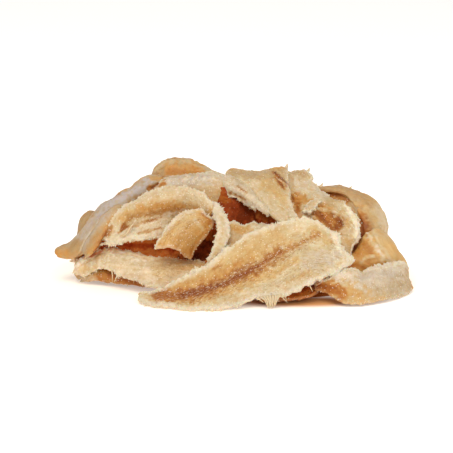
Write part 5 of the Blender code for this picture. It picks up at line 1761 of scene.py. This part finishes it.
def make_hairs(name):
    points, faces = [], []
    for thickness, *route in HAIRS:
        run = smooth_run([seen(*spot) for spot in route], np.linspace(0.0, 1.0, HAIR_STEPS))
        ahead = unit(np.gradient(run, axis=0))
        sideways = unit(np.cross(ahead, EYE - run))
        outwards = np.cross(ahead, sideways)
        radius = thickness / 2.0 * (1.0 - np.linspace(0.0, 0.85, HAIR_STEPS) ** 1.5)[:, None, None]
        turns = math.tau * np.arange(HAIR_SIDES)[:, None] / HAIR_SIDES
        around = np.cos(turns) * sideways[:, None] + np.sin(turns) * outwards[:, None]
        rings = run[:, None] + radius * around
        numbers = len(points) + np.arange(HAIR_STEPS * HAIR_SIDES).reshape(HAIR_STEPS, HAIR_SIDES)
        closed = np.concatenate((numbers, numbers[:, :1]), axis=1)
        faces += grid_faces(closed).tolist()
        faces += [numbers[0].tolist(), numbers[-1, ::-1].tolist()]
        points += rings.reshape(-1, 3).tolist()
    points = np.array(points)
    points[:, 2] = np.maximum(points[:, 2], 0.0)
    mesh = smooth_mesh(name, points, faces)
    mesh.materials.append(FIBRE)
    store_tint(mesh, np.tile(TONES["cream"], (len(points), 1)))
    made = linked(name, mesh)
    print(f"{name}: {len(HAIRS)} hairs, {triangles(made)} triangles")
    return made


LOOSE.append(make_hairs("single_hairs"))

# %% [markdown]
# ## Everything rides on the heap
#
# The heap is one solid, so each strip, the core and what lies loose stand for the same node and ride on
# the same body.

# %% Join the pieces to the frame
def attach(piece):
    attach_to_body(piece, "root")
    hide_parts("pollock_heap")


PIECES = [*STRIPS.objects, *CORE, *LOOSE]
for piece in PIECES:
    attach(piece)
print(len(PIECES), "pieces ride on the heap")

# %% [markdown]
# ## Floor and light
#
# The heap lies on white, in soft light from above. A wide lamp above and in front does most of the work,
# a weaker one fills from the camera's side, and a white surround lights the rest. The floor gives off a
# little light too, which keeps it white. Near the heap its colour is painted a warm shade, and under the
# front of the heap's right half it has a painted orange shadow, where it gives off less light.
# The view transform is Standard, because the tones were picked as screen values.

# %% Lay the floor
FLOOR_HALF = 3.0
FLOOR_STRETCH = (1.0, 1.5, 1.0)
FLOOR_NEAR_START = 0.058
FLOOR_NEAR_END = 0.066
FLOOR_WHITE = (0.93, 0.925, 0.92, 1.0)
FLOOR_WARM_SHADE_NEAR_HEAP = (0.93, 0.85, 0.74, 1.0)
FLOOR_GLOW = 0.36
FLOOR_GLOW_TONE = (1.0, 0.94, 0.86, 1.0)
PAINTED_SHADOW_TONE = (0.84, 0.4, 0.14, 1.0)
SHADOW_PATCH_SCALE = (1.0 / 0.024, 1.0 / 0.006, 1.0)
SHADOW_PATCH_SHIFT = (-0.02 * SHADOW_PATCH_SCALE[0], 0.0288 * SHADOW_PATCH_SCALE[1], 0.0)


def vector_length(tree, vector):
    return add(tree, "ShaderNodeVectorMath", {0: vector}, operation="LENGTH").outputs["Value"]


def make_floor():
    half = FLOOR_HALF
    corners = [(-half, -half, 0), (half, -half, 0), (half, half, 0), (-half, half, 0)]
    mesh = bpy.data.meshes.new("floor")
    mesh.from_pydata(corners, [], [(0, 1, 2, 3)])
    material, tree, shader = new_material("white_floor")
    place = add(tree, "ShaderNodeTexCoord").outputs["Object"]
    distance = vector_length(tree, vector_maths(tree, "MULTIPLY", place, FLOOR_STRETCH))
    # Painted warm shade near the heap, which shows where the floor lies in shadow.
    near = mapped(tree, distance, FLOOR_NEAR_END, FLOOR_NEAR_START)
    colour = mixed(tree, near, FLOOR_WHITE, FLOOR_WARM_SHADE_NEAR_HEAP)
    # A painted orange shadow under the front of the heap's right half, where the floor also glows less.
    shifted = add(tree, "ShaderNodeMapping", {"Vector": place, "Location": SHADOW_PATCH_SHIFT, "Scale": SHADOW_PATCH_SCALE})
    painted_shadow = mapped(tree, vector_length(tree, shifted.outputs[0]), 1.25, 0.5)
    colour = mixed(tree, painted_shadow, colour, PAINTED_SHADOW_TONE)
    glow = maths(tree, "MULTIPLY_ADD", painted_shadow, -FLOOR_GLOW, FLOOR_GLOW)
    tree.links.new(glow, shader.inputs["Emission Strength"])
    tree.links.new(colour, shader.inputs["Base Color"])
    shader.inputs["Roughness"].default_value = 0.8
    shader.inputs["Emission Color"].default_value = FLOOR_GLOW_TONE
    mesh.materials.append(material)
    linked("floor", mesh)


make_floor()
print("the floor is", 2.0 * FLOOR_HALF, "m wide")

# %% Light the heap
SURROUND_STRENGTH = 0.62


def make_lamp(name, place, size, power, colour=(1.0, 1.0, 1.0)):
    data = bpy.data.lights.new(name, "AREA")
    data.shape = "DISK"
    data.size = size
    data.energy = power
    data.color = colour
    lamp = linked(name, data)
    lamp.location = place
    lamp.rotation_euler = (-Vector(place)).to_track_quat("-Z", "Y").to_euler()


def make_surround():
    world = bpy.data.worlds.new("surround")
    world.use_nodes = True
    world.node_tree.nodes["Background"].inputs["Color"].default_value = (1.0, 1.0, 1.0, 1.0)
    world.node_tree.nodes["Background"].inputs["Strength"].default_value = SURROUND_STRENGTH
    bpy.context.scene.world = world


make_lamp("key", (-0.15, -0.35, 0.75), 0.5, 3.0, (1.0, 0.99, 0.97))
make_lamp("fill", (0.3, -0.8, 0.35), 0.6, 2.0)
make_surround()
bpy.context.scene.view_settings.view_transform = "Standard"

# %% [markdown]
# ## Triangles, and the end
#
# The dressed heap has to stay where the solid is. The last cell counts the triangles of all the pieces.

# %% Count the triangles and finish
print("triangles in all:", sum(triangles(piece) for piece in PIECES))
